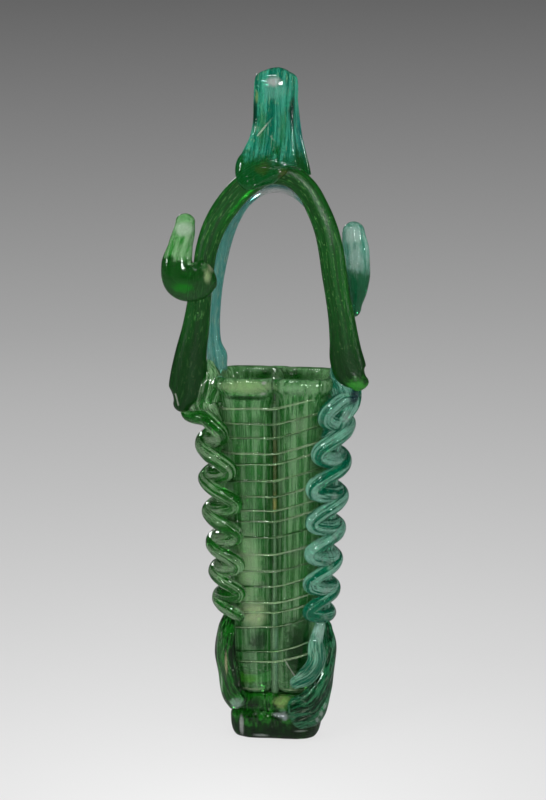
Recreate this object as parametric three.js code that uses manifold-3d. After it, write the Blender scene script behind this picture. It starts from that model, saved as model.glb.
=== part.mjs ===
// Double kohl tube in hot-worked glass: two tapered tubes side by side, wound with a fine thread,
// with a looped trail down each side, two handle arches under a folded finial, and a flat foot.
// Millimetres, +Z up, front towards -Y, origin in the middle of the flat underside of the foot.

import * as THREE from 'three';
import { mergeVertices } from 'three/addons/utils/BufferGeometryUtils.js';
import Module from 'manifold-3d';

const wasm = await Module();
wasm.setup();

// Driving sizes

// Room left between neighbouring pieces, and the least that a wound strand keeps to itself
const clearance = 0.3;
const leastSelfGap = 0.4;
// Room under a broad strand that lies on a tube, whose straight steps cut the bend
const layClearance = 0.45;

const foot = {
  height: 9.3,
  // Glass outside the line of the two tubes, and how far the flat underside is drawn in
  wall: 1.8,
  tuck: 2.3,
  lowerRound: 4.8,
  upperRound: 2,
  // Saddle between the pad and the tubes: its rise above the pad and how far it stays inside their line
  saddleRise: 6,
  saddleInset: 0.5,
  // Power that squares off the rounded oblong of its plan
  squareness: 2 / 3,
  sides: 28,
  lowerAngles: [-90, -60, -30, 0],
  upperAngles: [0, 35, 65, 90],
};

const tube = {
  lowRadius: 6.85,
  topRadius: 9.3,
  shoulderHeight: 116.2,
  baseRound: 2.4,
  boreLowRadius: 4.4,
  boreTopRadius: 6.9,
  // Glass under the bore, and the rounding of the bore's floor
  base: 5.6,
  boreRound: 4,
  segments: 28,
  // Steps of the rounded base, the rolled rim, its mouth and the bore's floor, in degrees
  baseAngles: [-90, -60, -30, 0],
  rollAngles: [-50, -20, 10, 40, 65, 90],
  mouthAngles: [120, 150, 180],
  floorAngles: [-35, -70],
};
tube.bottom = foot.height + foot.saddleRise + clearance;

const rim = {
  // How far the rolled rim stands out from the wall, and how far its mouth stands back from the bore
  overhang: 1.7,
  flare: 0.5,
  height: 6.6,
  neck: 1,
  // Rise towards the back for each millimetre of depth
  lean: 0.07,
  // How square the crest is in plan, a circle being 1
  squareness: 0.8,
};
rim.radius = tube.topRadius + rim.overhang;
rim.mouthRadius = tube.boreTopRadius + rim.flare;
rim.top = tube.shoulderHeight + rim.height;

const thread = {
  diameter: 0.9,
  belowShoulder: 2.4,
  bottom: 28.5,
  turns: 18,
  // Sag of the straight spans into the furrow between the tubes
  dip: 1.2,
  bendSteps: 8,
  spanSteps: 3,
  sides: 6,
};
thread.top = tube.shoulderHeight - thread.belowShoulder;

const trail = {
  topDiameter: 2.9,
  endDiameter: 2.05,
  // Turns over which the arc that a loop spans on its tube grows from its first to its last
  reachTurns: 2.2,
  // How far the fall of the first loop is drawn to its front, and where on the loop, in degrees
  frontFall: 0.4,
  frontPlace: 50,
  // How late a loop swings out from the tube, and the least that it swings out
  swingPower: 2,
  leastSwing: 1.7,
  steps: 24,
  sides: 6,
};
// Reaches are half of the arc that a loop spans on its tube, in degrees.
const leftTrail = {
  belowShoulder: 4.7, bottom: 44.4, firstPitch: 12.6, start: 0.1, end: 6.3, swing: 6, swingLoss: 0.8,
  firstReach: 53, lastReach: 73,
};
const rightTrail = {
  belowShoulder: -1.8, bottom: 40.5, firstPitch: 12.9, start: 0.09, end: 7.05, swing: 5, swingLoss: 0.55,
  firstReach: 50, lastReach: 65,
};

// Arches. Legs run along the arch: beyond the rim's side, above its crest, width in the arch's plane.
// Crowns are measured across from the seam.
const frontHandle = {
  leftLeg: [
    [9.6, -10.2, 6], [8, -5.8, 12], [7.5, -0.8, 12], [6.6, 6.9, 10.3], [5.1, 14.8, 9],
    [4, 22.2, 8], [3.2, 28.2, 7.4], [2.2, 34.7, 7.1], [1.1, 41.2, 7.3], [-1.2, 48.2, 7.8],
  ],
  crown: [
    [-15.6, 54.9, 8.1], [-10, 61.4, 7.9], [-2.6, 65.7, 7.4],
    [4.6, 65.2, 7], [10.4, 60.9, 7], [14.3, 54.4, 7.4],
  ],
  rightLeg: [
    [-3.6, 48.2, 7.7], [-1.9, 41.7, 8], [-0.8, 34.2, 8], [0.3, 26.7, 7.8], [1.6, 19.2, 8.6],
    [2.6, 12, 9.8], [3.4, 6, 11.2], [5, 1.2, 10.6], [7.4, -1.7, 6],
  ],
  depth: 6,
  footDepth: 8.6,
  setBack: -6.3,
  crownSetBack: -3.7,
  footSetBack: -5.4,
  tip: 2.6,
  sides: 12,
  steps: 44,
};
const backHandle = {
  leftLeg: [
    [-0.6, -1.6, 6.2], [0.3, 3.7, 6], [1.1, 8.7, 4.9], [1.4, 14.2, 4.6],
    [1.2, 20.2, 4.6], [0.3, 27.8, 4.6], [-1.2, 35.7, 4.7], [-2.9, 42.7, 4.9],
  ],
  crown: [
    [-15.2, 49.7, 5.1], [-11.2, 56.2, 5.3], [-5, 60.6, 5.4], [2, 61.2, 5.4], [8.2, 58.2, 5.3], [12.6, 53, 5.1],
  ],
  rightLeg: [
    [-4.8, 46.7, 4.9], [-3, 39.7, 4.7], [-1.9, 32.2, 4.6], [-1.1, 24.7, 4.6],
    [0, 17.2, 4.6], [0.6, 9.2, 4.9], [0.3, 3.7, 6], [-0.6, -1.6, 6.2],
  ],
  depth: 4.8,
  footDepth: 6.4,
  setBack: 6.6,
  crownSetBack: 3.7,
  footSetBack: 5.6,
  tip: 1.2,
  sides: 12,
  steps: 42,
};
// Steps round the end of a strand, in degrees
const tipAngles = [30, 60, 80];
// Height over which what lies on the tube climbs from the bare wall onto the thread
const climb = 2;
// Height over which an arch's foot thins to its leg, and height below the crown where the arches draw together
const footRise = 20;
const crownFall = 26;

// Folded ribbon. Leaves run up: across from the seam, share of the way to the fold, width.
const finial = {
  frontLeaf: [[-2.2, 0, 21], [-1.5, 0.17, 18.8], [-0.7, 0.36, 16.3], [-0.1, 0.55, 15], [0.1, 0.76, 14.8]],
  backLeaf: [[1.7, 0, 18.4], [1.2, 0.22, 17], [0.8, 0.4, 15.8], [0.4, 0.58, 15], [0.2, 0.78, 14.8]],
  // How far above the middle of its arch each leaf starts, and how far it splays beyond that
  frontSeat: 0.1,
  backSeat: 2.8,
  splay: 0.9,
  foldAcross: 0.1,
  foldRadius: 2.9,
  foldRise: 28.8,
  foldWidth: 13.6,
  foldPoints: 5,
  thickness: 4.2,
  tip: 0.8,
  sides: 14,
  steps: 34,
};

// Lugs: beyond the rim's side, depth from the leg's middle, above the rim's crest, width, thickness
const leftLug = {
  stations: [
    [3, -2.9, 25.8, 7.4, 5.4], [7.8, -2.5, 27.8, 10, 6.4], [10.6, -1.5, 32.8, 9.6, 6.6],
    [10.5, -0.7, 38.8, 8.8, 6.4], [9, -0.3, 45.2, 8.2, 6], [7.7, -0.3, 49.8, 6.6, 5.2],
  ],
  tip: 2.6,
  sides: 12,
  steps: 18,
};
const rightLug = {
  stations: [
    [4.6, -0.2, 21.4, 4.6, 4], [5.2, -0.3, 26.4, 7, 6], [5.2, -0.4, 32.9, 8.6, 6.8],
    [4.8, -0.5, 39.9, 8.8, 6.8], [4, -0.6, 46, 7.6, 6.2],
  ],
  tip: 3.4,
  sides: 12,
  steps: 16,
};

// Strands that lie on a tube, from the top: degrees round from its side to the front,
// share of the way up, width, thickness
const lowerLeftStrand = {
  stations: [
    [36, 1, 2, 2], [20, 0.8, 3.6, 3.6], [12, 0.54, 4.4, 4.6],
    [16, 0.29, 4.6, 5.2], [34, 0.1, 4.8, 4.8], [57, 0, 5, 4.2],
  ],
  belowTrail: 3.4,
  aboveFoot: 3.5,
  tip: 1.6,
  sides: 10,
  steps: 20,
};
const lowerRightStrand = {
  stations: [
    [13, 1, 3, 3], [11, 0.81, 4.8, 4.6], [14, 0.56, 6.2, 5.8],
    [28, 0.29, 9, 5.4], [54, 0.06, 12, 5], [80, 0, 10, 4.2],
  ],
  belowTrail: 4.5,
  aboveFoot: 0.5,
  tip: 2.4,
  sides: 14,
  steps: 22,
};
const tealSwirl = {
  stations: [[39, 1, 3, 3], [48, 0.7, 4.4, 3.8], [46, 0.4, 5.2, 4], [60, 0.13, 5, 3.6], [87, 0, 3.4, 3.2]],
  belowTrail: 1.1,
  aboveFoot: 10.7,
  tip: 1,
  sides: 10,
  steps: 18,
};

// Glass colours as the pieces look against a pale ground
const glass = {
  bodyGreen: 0x4c8a55,
  deepGreen: 0x14561f,
  trailGreen: 0x2f7a3c,
  trailTeal: 0x2a8068,
  blueTeal: 0x338282,
};

// Small helpers

const radians = THREE.MathUtils.degToRad;
const lerp = THREE.MathUtils.lerp;
const smoothstep = THREE.MathUtils.smoothstep;

function glassMesh(name, geometry, color) {
  geometry.computeVertexNormals();
  const material = new THREE.MeshStandardMaterial({ color, roughness: 0.08, metalness: 0 });
  material.transparent = true;
  material.opacity = 0.7;
  const mesh = new THREE.Mesh(geometry, material);
  mesh.name = name;
  return mesh;
}

// Keeps only positions, and joins the vertices that share one
function welded(geometry) {
  const bare = geometry.clone();
  bare.deleteAttribute('normal');
  bare.deleteAttribute('uv');
  return mergeVertices(bare, 1e-4);
}

// A closed skin over rings of points that run anticlockwise about the way they follow
function loft(rings) {
  const sides = rings[0].length;
  const positions = rings.flat().flatMap((point) => [point.x, point.y, point.z]);
  const indices = [];
  for (let i = 0; i < rings.length - 1; i += 1) {
    for (let j = 0; j < sides; j += 1) {
      const a = i * sides + j;
      const b = i * sides + ((j + 1) % sides);
      indices.push(a, b, b + sides, a, b + sides, a + sides);
    }
  }
  const last = (rings.length - 1) * sides;
  for (let j = 1; j < sides - 1; j += 1) {
    indices.push(0, j + 1, j);
    indices.push(last, last + j, last + j + 1);
  }
  const geometry = new THREE.BufferGeometry();
  geometry.setAttribute('position', new THREE.Float32BufferAttribute(positions, 3));
  geometry.setIndex(indices);
  return geometry;
}

// An elliptical ring at a point of a path, its thickness laid along the given direction
function ellipseRing(centre, tangent, thicknessWay, halfWidth, halfThickness, sides) {
  const across = new THREE.Vector3().crossVectors(thicknessWay, tangent).normalize();
  const through = new THREE.Vector3().crossVectors(tangent, across);
  const ring = [];
  for (let j = 0; j < sides; j += 1) {
    const angle = (2 * Math.PI * j) / sides;
    ring.push(centre.clone()
      .addScaledVector(across, halfWidth * Math.cos(angle))
      .addScaledVector(through, halfThickness * Math.sin(angle)));
  }
  return ring;
}

// Tangent of a list of points at one of them
function tangentAt(points, i) {
  const before = points[Math.max(i - 1, 0)];
  const after = points[Math.min(i + 1, points.length - 1)];
  return after.clone().sub(before).normalize();
}

// A strand of changing width and thickness with rounded ends.
// Each station is { point, width, thickness }, and thicknessWay(point) says which way it is thin.
function strand(stations, { steps, sides, tip }, thicknessWay, grow = 0) {
  const route = new THREE.CatmullRomCurve3(stations.map((station) => station.point), false, 'centripetal');
  const sizes = new THREE.SplineCurve(stations.map(({ width, thickness }) => new THREE.Vector2(width, thickness)));
  const points = [];
  for (let i = 0; i <= steps; i += 1) points.push(route.getPoint(i / steps));
  const rings = points.map((point, i) => {
    const size = sizes.getPoint(i / steps);
    return { point, tangent: tangentAt(points, i), halfWidth: size.x / 2 + grow, halfThickness: size.y / 2 + grow };
  });
  const rounded = (end, way) => tipAngles.map(radians).map((angle) => ({
    point: end.point.clone().addScaledVector(end.tangent, way * (tip + grow) * Math.sin(angle)),
    tangent: end.tangent,
    halfWidth: end.halfWidth * Math.cos(angle),
    halfThickness: end.halfThickness * Math.cos(angle),
  }));
  const all = [...rounded(rings[0], -1).reverse(), ...rings, ...rounded(rings[rings.length - 1], 1)];
  return loft(all.map((ring) => ellipseRing(
    ring.point, ring.tangent, thicknessWay(ring.point), ring.halfWidth, ring.halfThickness, sides,
  )));
}

function toSolid(geometry) {
  const merged = welded(geometry);
  return new wasm.Manifold(new wasm.Mesh({
    numProp: 3,
    vertProperties: new Float32Array(merged.attributes.position.array),
    triVerts: new Uint32Array(merged.index.array),
  }));
}

// The first geometry with each of the others taken out of it
function cutBy(geometry, cutters) {
  const result = cutters.reduce((solid, cutter) => solid.subtract(toSolid(cutter)), toSolid(geometry)).getMesh();
  const cut = new THREE.BufferGeometry();
  cut.setAttribute('position', new THREE.Float32BufferAttribute(result.vertProperties, 3));
  cut.setIndex(Array.from(result.triVerts));
  return cut;
}

// Tubes

// Radius of a tube's outer wall, which is also how far its axis leans out at that height
function wallRadius(height) {
  const share = (height - tube.bottom) / (tube.shoulderHeight - tube.bottom);
  return lerp(tube.lowRadius, tube.topRadius, share);
}

// Distance of a tube's axis from the seam between the two tubes
function axisOffset(height) {
  return clearance / 2 + wallRadius(height);
}

// How far the rims reach to each side of the seam
const rimSide = axisOffset(rim.top) + rim.radius;

// Points of an elliptical arc of a profile
function arcPoints(centre, radii, angles) {
  return angles.map(radians).map((angle) => [
    centre[0] + radii[0] * Math.cos(angle), centre[1] + radii[1] * Math.sin(angle),
  ]);
}

// Profile from the middle of the base up the wall and over the rim, then down the bore to its floor.
// With some growth it is the outer shape alone, that much larger.
function tubeProfile(grow = 0) {
  const baseTop = tube.bottom + tube.baseRound;
  const baseEdge = wallRadius(baseTop) - tube.baseRound;
  const base = arcPoints([baseEdge, baseTop], [tube.baseRound + grow, tube.baseRound + grow], tube.baseAngles);
  const rollBase = tube.shoulderHeight + rim.neck;
  const rollCentre = [(rim.radius + rim.mouthRadius) / 2, (rollBase + rim.top) / 2];
  const rollRadii = [(rim.radius - rim.mouthRadius) / 2 + grow, (rim.top - rollBase) / 2 + grow];
  const wall = [[0, tube.bottom - grow], ...base, [tube.topRadius + grow, tube.shoulderHeight]];
  const roll = arcPoints(rollCentre, rollRadii, tube.rollAngles);
  if (grow > 0) return [...wall, ...roll, [0, rim.top + grow]];
  const mouth = arcPoints(rollCentre, rollRadii, tube.mouthAngles);
  const boreFloor = tube.bottom + tube.base;
  const boreEnd = boreFloor + tube.boreRound;
  const bore = [[tube.boreTopRadius, tube.shoulderHeight - rim.neck], [tube.boreLowRadius, boreEnd]];
  const boreBottom = arcPoints([0, boreEnd], [tube.boreLowRadius, tube.boreRound], tube.floorAngles);
  return [...wall, ...roll, ...mouth, ...bore, ...boreBottom, [0, boreFloor]];
}

// A sine or cosine with its curve drawn out towards the corners
function squared(value, squareness) {
  return Math.sign(value) * Math.abs(value) ** squareness;
}

// A tube on the given side, leaning out as it widens, its rim pressed square and flat along the seam
function tubeGeometry(side, grow = 0) {
  const profile = tubeProfile(grow).map(([radius, height]) => new THREE.Vector2(radius, height));
  const geometry = welded(new THREE.LatheGeometry(profile, tube.segments).rotateX(Math.PI / 2));
  const position = geometry.attributes.position;
  for (let i = 0; i < position.count; i += 1) {
    const height = position.getZ(i);
    const atRim = smoothstep(height, tube.shoulderHeight, rim.top);
    const radius = Math.hypot(position.getX(i), position.getY(i));
    if (radius > 0) {
      const squareness = lerp(1, rim.squareness, atRim);
      position.setX(i, radius * squared(position.getX(i) / radius, squareness));
      position.setY(i, radius * squared(position.getY(i) / radius, squareness));
    }
    const outward = Math.max(side * position.getX(i) + axisOffset(height), clearance / 2 - grow);
    position.setX(i, side * outward);
    position.setZ(i, height + rim.lean * position.getY(i) * atRim);
  }
  return geometry;
}

// Wound strands

// Least distance between stretches of one round strand that lie at least some steps apart
function gapToItself(points, radii, apart) {
  let least = Infinity;
  for (let i = 0; i < points.length; i += 1) {
    for (let j = i + apart; j < points.length; j += 1) {
      least = Math.min(least, points[i].distanceTo(points[j]) - radii[i] - radii[j]);
    }
  }
  return least;
}

// One unbroken round strand through every point
function woundStrand(name, points, radii, sides, apart, thicknessWay) {
  const gap = gapToItself(points, radii, apart);
  console.log(`${name}: least gap to itself ${gap.toFixed(2)} mm, at least ${leastSelfGap} mm wanted`);
  return loft(points.map((point, i) => (
    ellipseRing(point, tangentAt(points, i), thicknessWay(point), radii[i], radii[i], sides)
  )));
}

// How much further out the corners of a bend lie, so that its straight steps clear the wall
const bendSpread = 1 / Math.cos(Math.PI / (2 * thread.bendSteps));

// Distance of the thread's middle from a tube's axis
function threadRadius(height) {
  return (wallRadius(height) + clearance + thread.diameter / 2) * bendSpread;
}

// Steps round a tube between two angles, a full bend having its own number of them
function bendStations(side, from, to) {
  const count = Math.round((thread.bendSteps * Math.abs(to - from)) / 180);
  return Array.from({ length: count }, (_, i) => ({ side, angle: radians(lerp(from, to, i / count)) }));
}

function spanStations(face) {
  return Array.from({ length: thread.spanSteps }, (_, i) => ({ face, along: i / thread.spanSteps }));
}

// One turn of the thread, from the right side round the front, the left side and the back
const turnStations = [
  ...bendStations(1, 0, -90), ...spanStations(-1), ...bendStations(-1, -90, -270), ...spanStations(1),
  ...bendStations(1, 90, 0),
];

function threadPoint(station, height) {
  const radius = threadRadius(height);
  const offset = axisOffset(height);
  if (station.side) {
    return new THREE.Vector3(
      station.side * offset + radius * Math.cos(station.angle), radius * Math.sin(station.angle), height,
    );
  }
  const across = station.face * offset * (2 * station.along - 1);
  const dip = thread.dip * Math.cos((Math.PI * across) / (2 * offset)) ** 2;
  return new THREE.Vector3(across, station.face * (radius - dip), height);
}

function bodyThread() {
  const steps = thread.turns * turnStations.length;
  const points = [];
  for (let i = 0; i <= steps; i += 1) {
    points.push(threadPoint(turnStations[i % turnStations.length], lerp(thread.top, thread.bottom, i / steps)));
  }
  const radii = points.map(() => thread.diameter / 2);
  const upward = () => new THREE.Vector3(0, 0, 1);
  return woundStrand('body_thread', points, radii, thread.sides, thread.bendSteps, upward);
}

// Distance from a tube's axis to the middle of a strand that lies on the wall, the thread or the rim
function layRadius(height, halfThickness, room = clearance) {
  const onThread = threadRadius(height) + thread.diameter / 2;
  const climbed = smoothstep(height, thread.bottom - thread.diameter - climb, thread.bottom - thread.diameter);
  const onRim = height > tube.shoulderHeight - rim.neck ? rim.radius : 0;
  return Math.max(lerp(wallRadius(height), onThread, climbed), onRim) + room + halfThickness;
}

// Share of its pitch that a loop has fallen at an angle, more of it across the front
function fallShare(angle, frontFall) {
  const place = radians(trail.frontPlace);
  return (angle + frontFall * (Math.sin(angle - place) + Math.sin(place))) / (2 * Math.PI);
}

// A looped trail down one side: each loop crosses the front, turns in behind itself along the tube
// and swings out past the side again. The loops draw together towards the bottom.
function sideTrail(name, side, shape) {
  const count = Math.round((shape.end - shape.start) * trail.steps);
  const top = tube.shoulderHeight - shape.belowShoulder;
  const draw = (2 * (shape.bottom - top + shape.firstPitch * shape.end)) / shape.end ** 2;
  const points = [];
  const radii = [];
  for (let i = 0; i <= count; i += 1) {
    const turn = shape.start + ((shape.end - shape.start) * i) / count;
    const down = turn / shape.end;
    const angle = 2 * Math.PI * turn;
    const whole = Math.floor(turn);
    const fallen = whole + fallShare(angle - 2 * Math.PI * whole, lerp(trail.frontFall, 0, down));
    const height = top - shape.firstPitch * fallen + (draw * fallen * fallen) / 2;
    const radius = lerp(trail.topDiameter, trail.endDiameter, down) / 2;
    const swing = Math.max(shape.swing - shape.swingLoss * turn, trail.leastSwing);
    const outward = layRadius(height, radius) + swing * ((1 + Math.cos(angle)) / 2) ** trail.swingPower;
    const reach = lerp(shape.firstReach, shape.lastReach, smoothstep(turn, 0, trail.reachTurns));
    const around = radians(reach) * Math.sin(angle);
    points.push(new THREE.Vector3(
      side * (axisOffset(height) + outward * Math.cos(around)), -outward * Math.sin(around), height,
    ));
    radii.push(radius);
  }
  return woundStrand(name, points, radii, trail.sides, trail.steps / 4, fromAxis(side));
}

// Handle

const depthWay = () => new THREE.Vector3(0, 1, 0);

function archTop(arch) {
  return rim.top + Math.max(...arch.crown.map((station) => station[1]));
}

// An arch whose legs thicken into feet and draw together at the crown
function archGeometry(arch, grow = 0) {
  const place = [
    ...arch.leftLeg.map(([beyond, above, width]) => [-rimSide - beyond, rim.top + above, width]),
    ...arch.crown.map(([across, above, width]) => [across, rim.top + above, width]),
    ...arch.rightLeg.map(([beyond, above, width]) => [rimSide + beyond, rim.top + above, width]),
  ];
  const footHeight = rim.top + arch.leftLeg[0][1];
  const crownHeight = archTop(arch);
  const stations = place.map(([x, z, width]) => {
    const leg = smoothstep(z, footHeight, footHeight + footRise);
    const crown = smoothstep(z, crownHeight - crownFall, crownHeight);
    const y = lerp(lerp(arch.footSetBack, arch.setBack, leg), arch.crownSetBack, crown);
    return { point: new THREE.Vector3(x, y, z), width, thickness: lerp(arch.footDepth, arch.depth, leg) };
  });
  return strand(stations, arch, depthWay, grow);
}

// A ribbon up from the front arch, over in a round fold and down to the back arch
function finialGeometry() {
  const foldCentre = archTop(frontHandle) + finial.foldRise;
  const leaf = (stations, arch, seat) => stations.map(([x, share, width]) => {
    const splayed = Math.abs(arch.crownSetBack) + finial.splay;
    const y = Math.sign(arch.crownSetBack) * lerp(splayed, finial.foldRadius, share);
    const z = lerp(archTop(arch) + seat, foldCentre, share);
    return { point: new THREE.Vector3(x, y, z), width, thickness: finial.thickness };
  });
  const foldAngles = Array.from({ length: finial.foldPoints }, (_, i) => 180 * (1 - i / (finial.foldPoints - 1)));
  const fold = arcPoints([0, foldCentre], [finial.foldRadius, finial.foldRadius], foldAngles).map(([y, z]) => (
    { point: new THREE.Vector3(finial.foldAcross, y, z), width: finial.foldWidth, thickness: finial.thickness }
  ));
  const stations = [
    ...leaf(finial.frontLeaf, frontHandle, finial.frontSeat),
    ...fold,
    ...leaf(finial.backLeaf, backHandle, finial.backSeat).reverse(),
  ];
  const outwards = (point) => new THREE.Vector3(0, point.y, Math.max(point.z - foldCentre, 0));
  return strand(stations, finial, outwards);
}

// A lug beside the leg of an arch on one side
function lugGeometry(lug, side, arch) {
  const stations = lug.stations.map(([beyond, depth, above, width, thickness]) => (
    { point: new THREE.Vector3(side * (rimSide + beyond), arch.setBack + depth, rim.top + above), width, thickness }
  ));
  return strand(stations, lug, depthWay);
}

// Lower strands

// Direction from the axis of a tube to a point
function fromAxis(side) {
  return (point) => new THREE.Vector3(point.x - side * axisOffset(point.z), point.y, 0);
}

// A strand that runs down one tube below its trail
function layStrand(shape, side, trailAbove, grow = 0) {
  const bottom = foot.height + shape.aboveFoot;
  const top = trailAbove.bottom - shape.belowTrail;
  const stations = shape.stations.map(([degrees, share, width, thickness]) => {
    const height = lerp(bottom, top, share);
    const outward = layRadius(height, thickness / 2, layClearance);
    const around = radians(degrees);
    const x = side * (axisOffset(height) + outward * Math.cos(around));
    return { point: new THREE.Vector3(x, -outward * Math.sin(around), height), width, thickness };
  });
  return strand(stations, shape, fromAxis(side), grow);
}

// Foot

// A ring of a rounded oblong, drawn in by an inset
function oblongRing(halfWidth, halfDepth, inset, height) {
  return Array.from({ length: foot.sides }, (_, i) => {
    const angle = (2 * Math.PI * (i + 0.5)) / foot.sides;
    const cos = Math.cos(angle);
    const sin = Math.sin(angle);
    return new THREE.Vector3(
      (halfWidth - inset) * squared(cos, foot.squareness),
      (halfDepth - inset) * squared(sin, foot.squareness),
      height,
    );
  });
}

// A pad with a rounded edge, and on it a saddle up to the undersides of the tubes
function footGeometry() {
  const shoulder = foot.height - foot.upperRound;
  const drawnIn = foot.wall + foot.saddleInset;
  const lower = arcPoints([0, foot.lowerRound], [foot.tuck, foot.lowerRound], foot.lowerAngles);
  const upper = arcPoints([0, shoulder], [drawnIn, foot.upperRound], foot.upperAngles);
  const ring = (height, inset) => {
    const wallAt = wallRadius(height);
    return oblongRing(axisOffset(height) + wallAt + foot.wall, wallAt + foot.wall, inset, height);
  };
  return loft([
    ...lower.map(([out, height]) => ring(height, foot.tuck - out)),
    ...upper.map(([out, height]) => ring(height, drawnIn - out)),
    ring(foot.height + foot.saddleRise, drawnIn),
  ]);
}

// The whole object

const grownTubes = [tubeGeometry(-1, clearance), tubeGeometry(1, clearance)];
const grownFrontHandle = archGeometry(frontHandle, clearance);
const grownBackHandle = archGeometry(backHandle, clearance);
const strandCuts = [
  layStrand(lowerLeftStrand, -1, leftTrail, clearance),
  layStrand(lowerRightStrand, 1, rightTrail, clearance),
];

const object = new THREE.Group();
object.add(
  glassMesh('left_tube', tubeGeometry(-1), glass.bodyGreen),
  glassMesh('right_tube', tubeGeometry(1), glass.bodyGreen),
  glassMesh('body_thread', bodyThread(), glass.bodyGreen),
  glassMesh('left_side_trail', sideTrail('left_side_trail', -1, leftTrail), glass.trailGreen),
  glassMesh('right_side_trail', sideTrail('right_side_trail', 1, rightTrail), glass.trailTeal),
  glassMesh('front_handle', cutBy(archGeometry(frontHandle), grownTubes), glass.deepGreen),
  glassMesh('back_handle', cutBy(archGeometry(backHandle), grownTubes), glass.blueTeal),
  glassMesh('finial', cutBy(finialGeometry(), [grownFrontHandle, grownBackHandle]), glass.blueTeal),
  glassMesh('left_lug', cutBy(lugGeometry(leftLug, -1, frontHandle), [grownFrontHandle]), glass.trailGreen),
  glassMesh('right_lug', cutBy(lugGeometry(rightLug, 1, backHandle), [grownBackHandle]), glass.trailTeal),
  glassMesh('lower_left_strand', layStrand(lowerLeftStrand, -1, leftTrail), glass.deepGreen),
  glassMesh('lower_right_strand', layStrand(lowerRightStrand, 1, rightTrail), glass.deepGreen),
  glassMesh('teal_swirl', layStrand(tealSwirl, 1, rightTrail), glass.blueTeal),
  glassMesh('foot_pad', cutBy(footGeometry(), strandCuts), glass.deepGreen),
);

export default object;
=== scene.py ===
"""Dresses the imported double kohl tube: hot-worked green and teal glass in a pale, plain studio.

Sizes are written in millimetres, as in the part's source, and meshes are made in metres.
"""

from __future__ import annotations

import logging
import math
from dataclasses import dataclass
from enum import Enum
from typing import Callable, Sequence

import bmesh
import bpy
import numpy as np
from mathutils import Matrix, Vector, noise

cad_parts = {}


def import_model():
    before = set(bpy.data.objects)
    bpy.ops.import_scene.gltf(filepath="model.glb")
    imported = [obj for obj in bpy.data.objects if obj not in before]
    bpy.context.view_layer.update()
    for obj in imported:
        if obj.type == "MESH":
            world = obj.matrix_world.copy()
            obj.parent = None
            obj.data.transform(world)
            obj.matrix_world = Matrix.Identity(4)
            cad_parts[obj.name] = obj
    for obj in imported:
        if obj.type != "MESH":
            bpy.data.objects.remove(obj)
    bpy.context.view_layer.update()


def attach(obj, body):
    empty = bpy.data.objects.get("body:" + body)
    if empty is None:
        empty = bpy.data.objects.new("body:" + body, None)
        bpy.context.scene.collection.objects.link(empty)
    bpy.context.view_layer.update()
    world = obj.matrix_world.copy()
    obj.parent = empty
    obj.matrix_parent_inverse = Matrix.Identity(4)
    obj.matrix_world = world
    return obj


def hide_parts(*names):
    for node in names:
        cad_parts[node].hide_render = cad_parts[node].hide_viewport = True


LOG = logging.getLogger("kohl_tube")
MM = 0.001
BODY = "root"
DRAWN = "drawn"
INSIDE = "inside"

Piece = bpy.types.Object
Mesh = bpy.types.Mesh
Socket = bpy.types.NodeSocket
Sockets = dict[str, Socket]
Inputs = dict[str | int, object]
Array = np.ndarray
Outputs = bpy.types.bpy_prop_collection
Colour = tuple[float, float, float]
# Red, green and blue from 0 to 255, as on a screen
Shade = tuple[int, int, int]
Point = tuple[float, float, float]
# Across, up and width of a station
Station = tuple[float, float, float]
Pair = tuple[float, float]
# First and last angle in degrees, and how many points
Arc = tuple[float, float, int]


def srgb(shade: Shade) -> Colour:
    """Linear colour of a shade."""
    parts = (value / 255 for value in shade)
    return tuple(p / 12.92 if p <= 0.04045 else ((p + 0.055) / 1.055) ** 2.4 for p in parts)


def smoothstep(value: Array | float, low: float, high: float) -> Array | float:
    """Smooth rise from 0 at low to 1 at high."""
    share = np.clip((np.asarray(value, float) - low) / (high - low), 0, 1)
    return share * share * (3 - 2 * share)


def lerp(low: float, high: float, share: Array | float) -> Array | float:
    """Value at a share of the way from low to high."""
    return low + (high - low) * share


def unit(rows: Array) -> Array:
    """Rows scaled to length 1."""
    return rows / np.maximum(np.linalg.norm(rows, axis=-1, keepdims=True), 1e-9)


# Sizes that the sub-assemblies share


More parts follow.
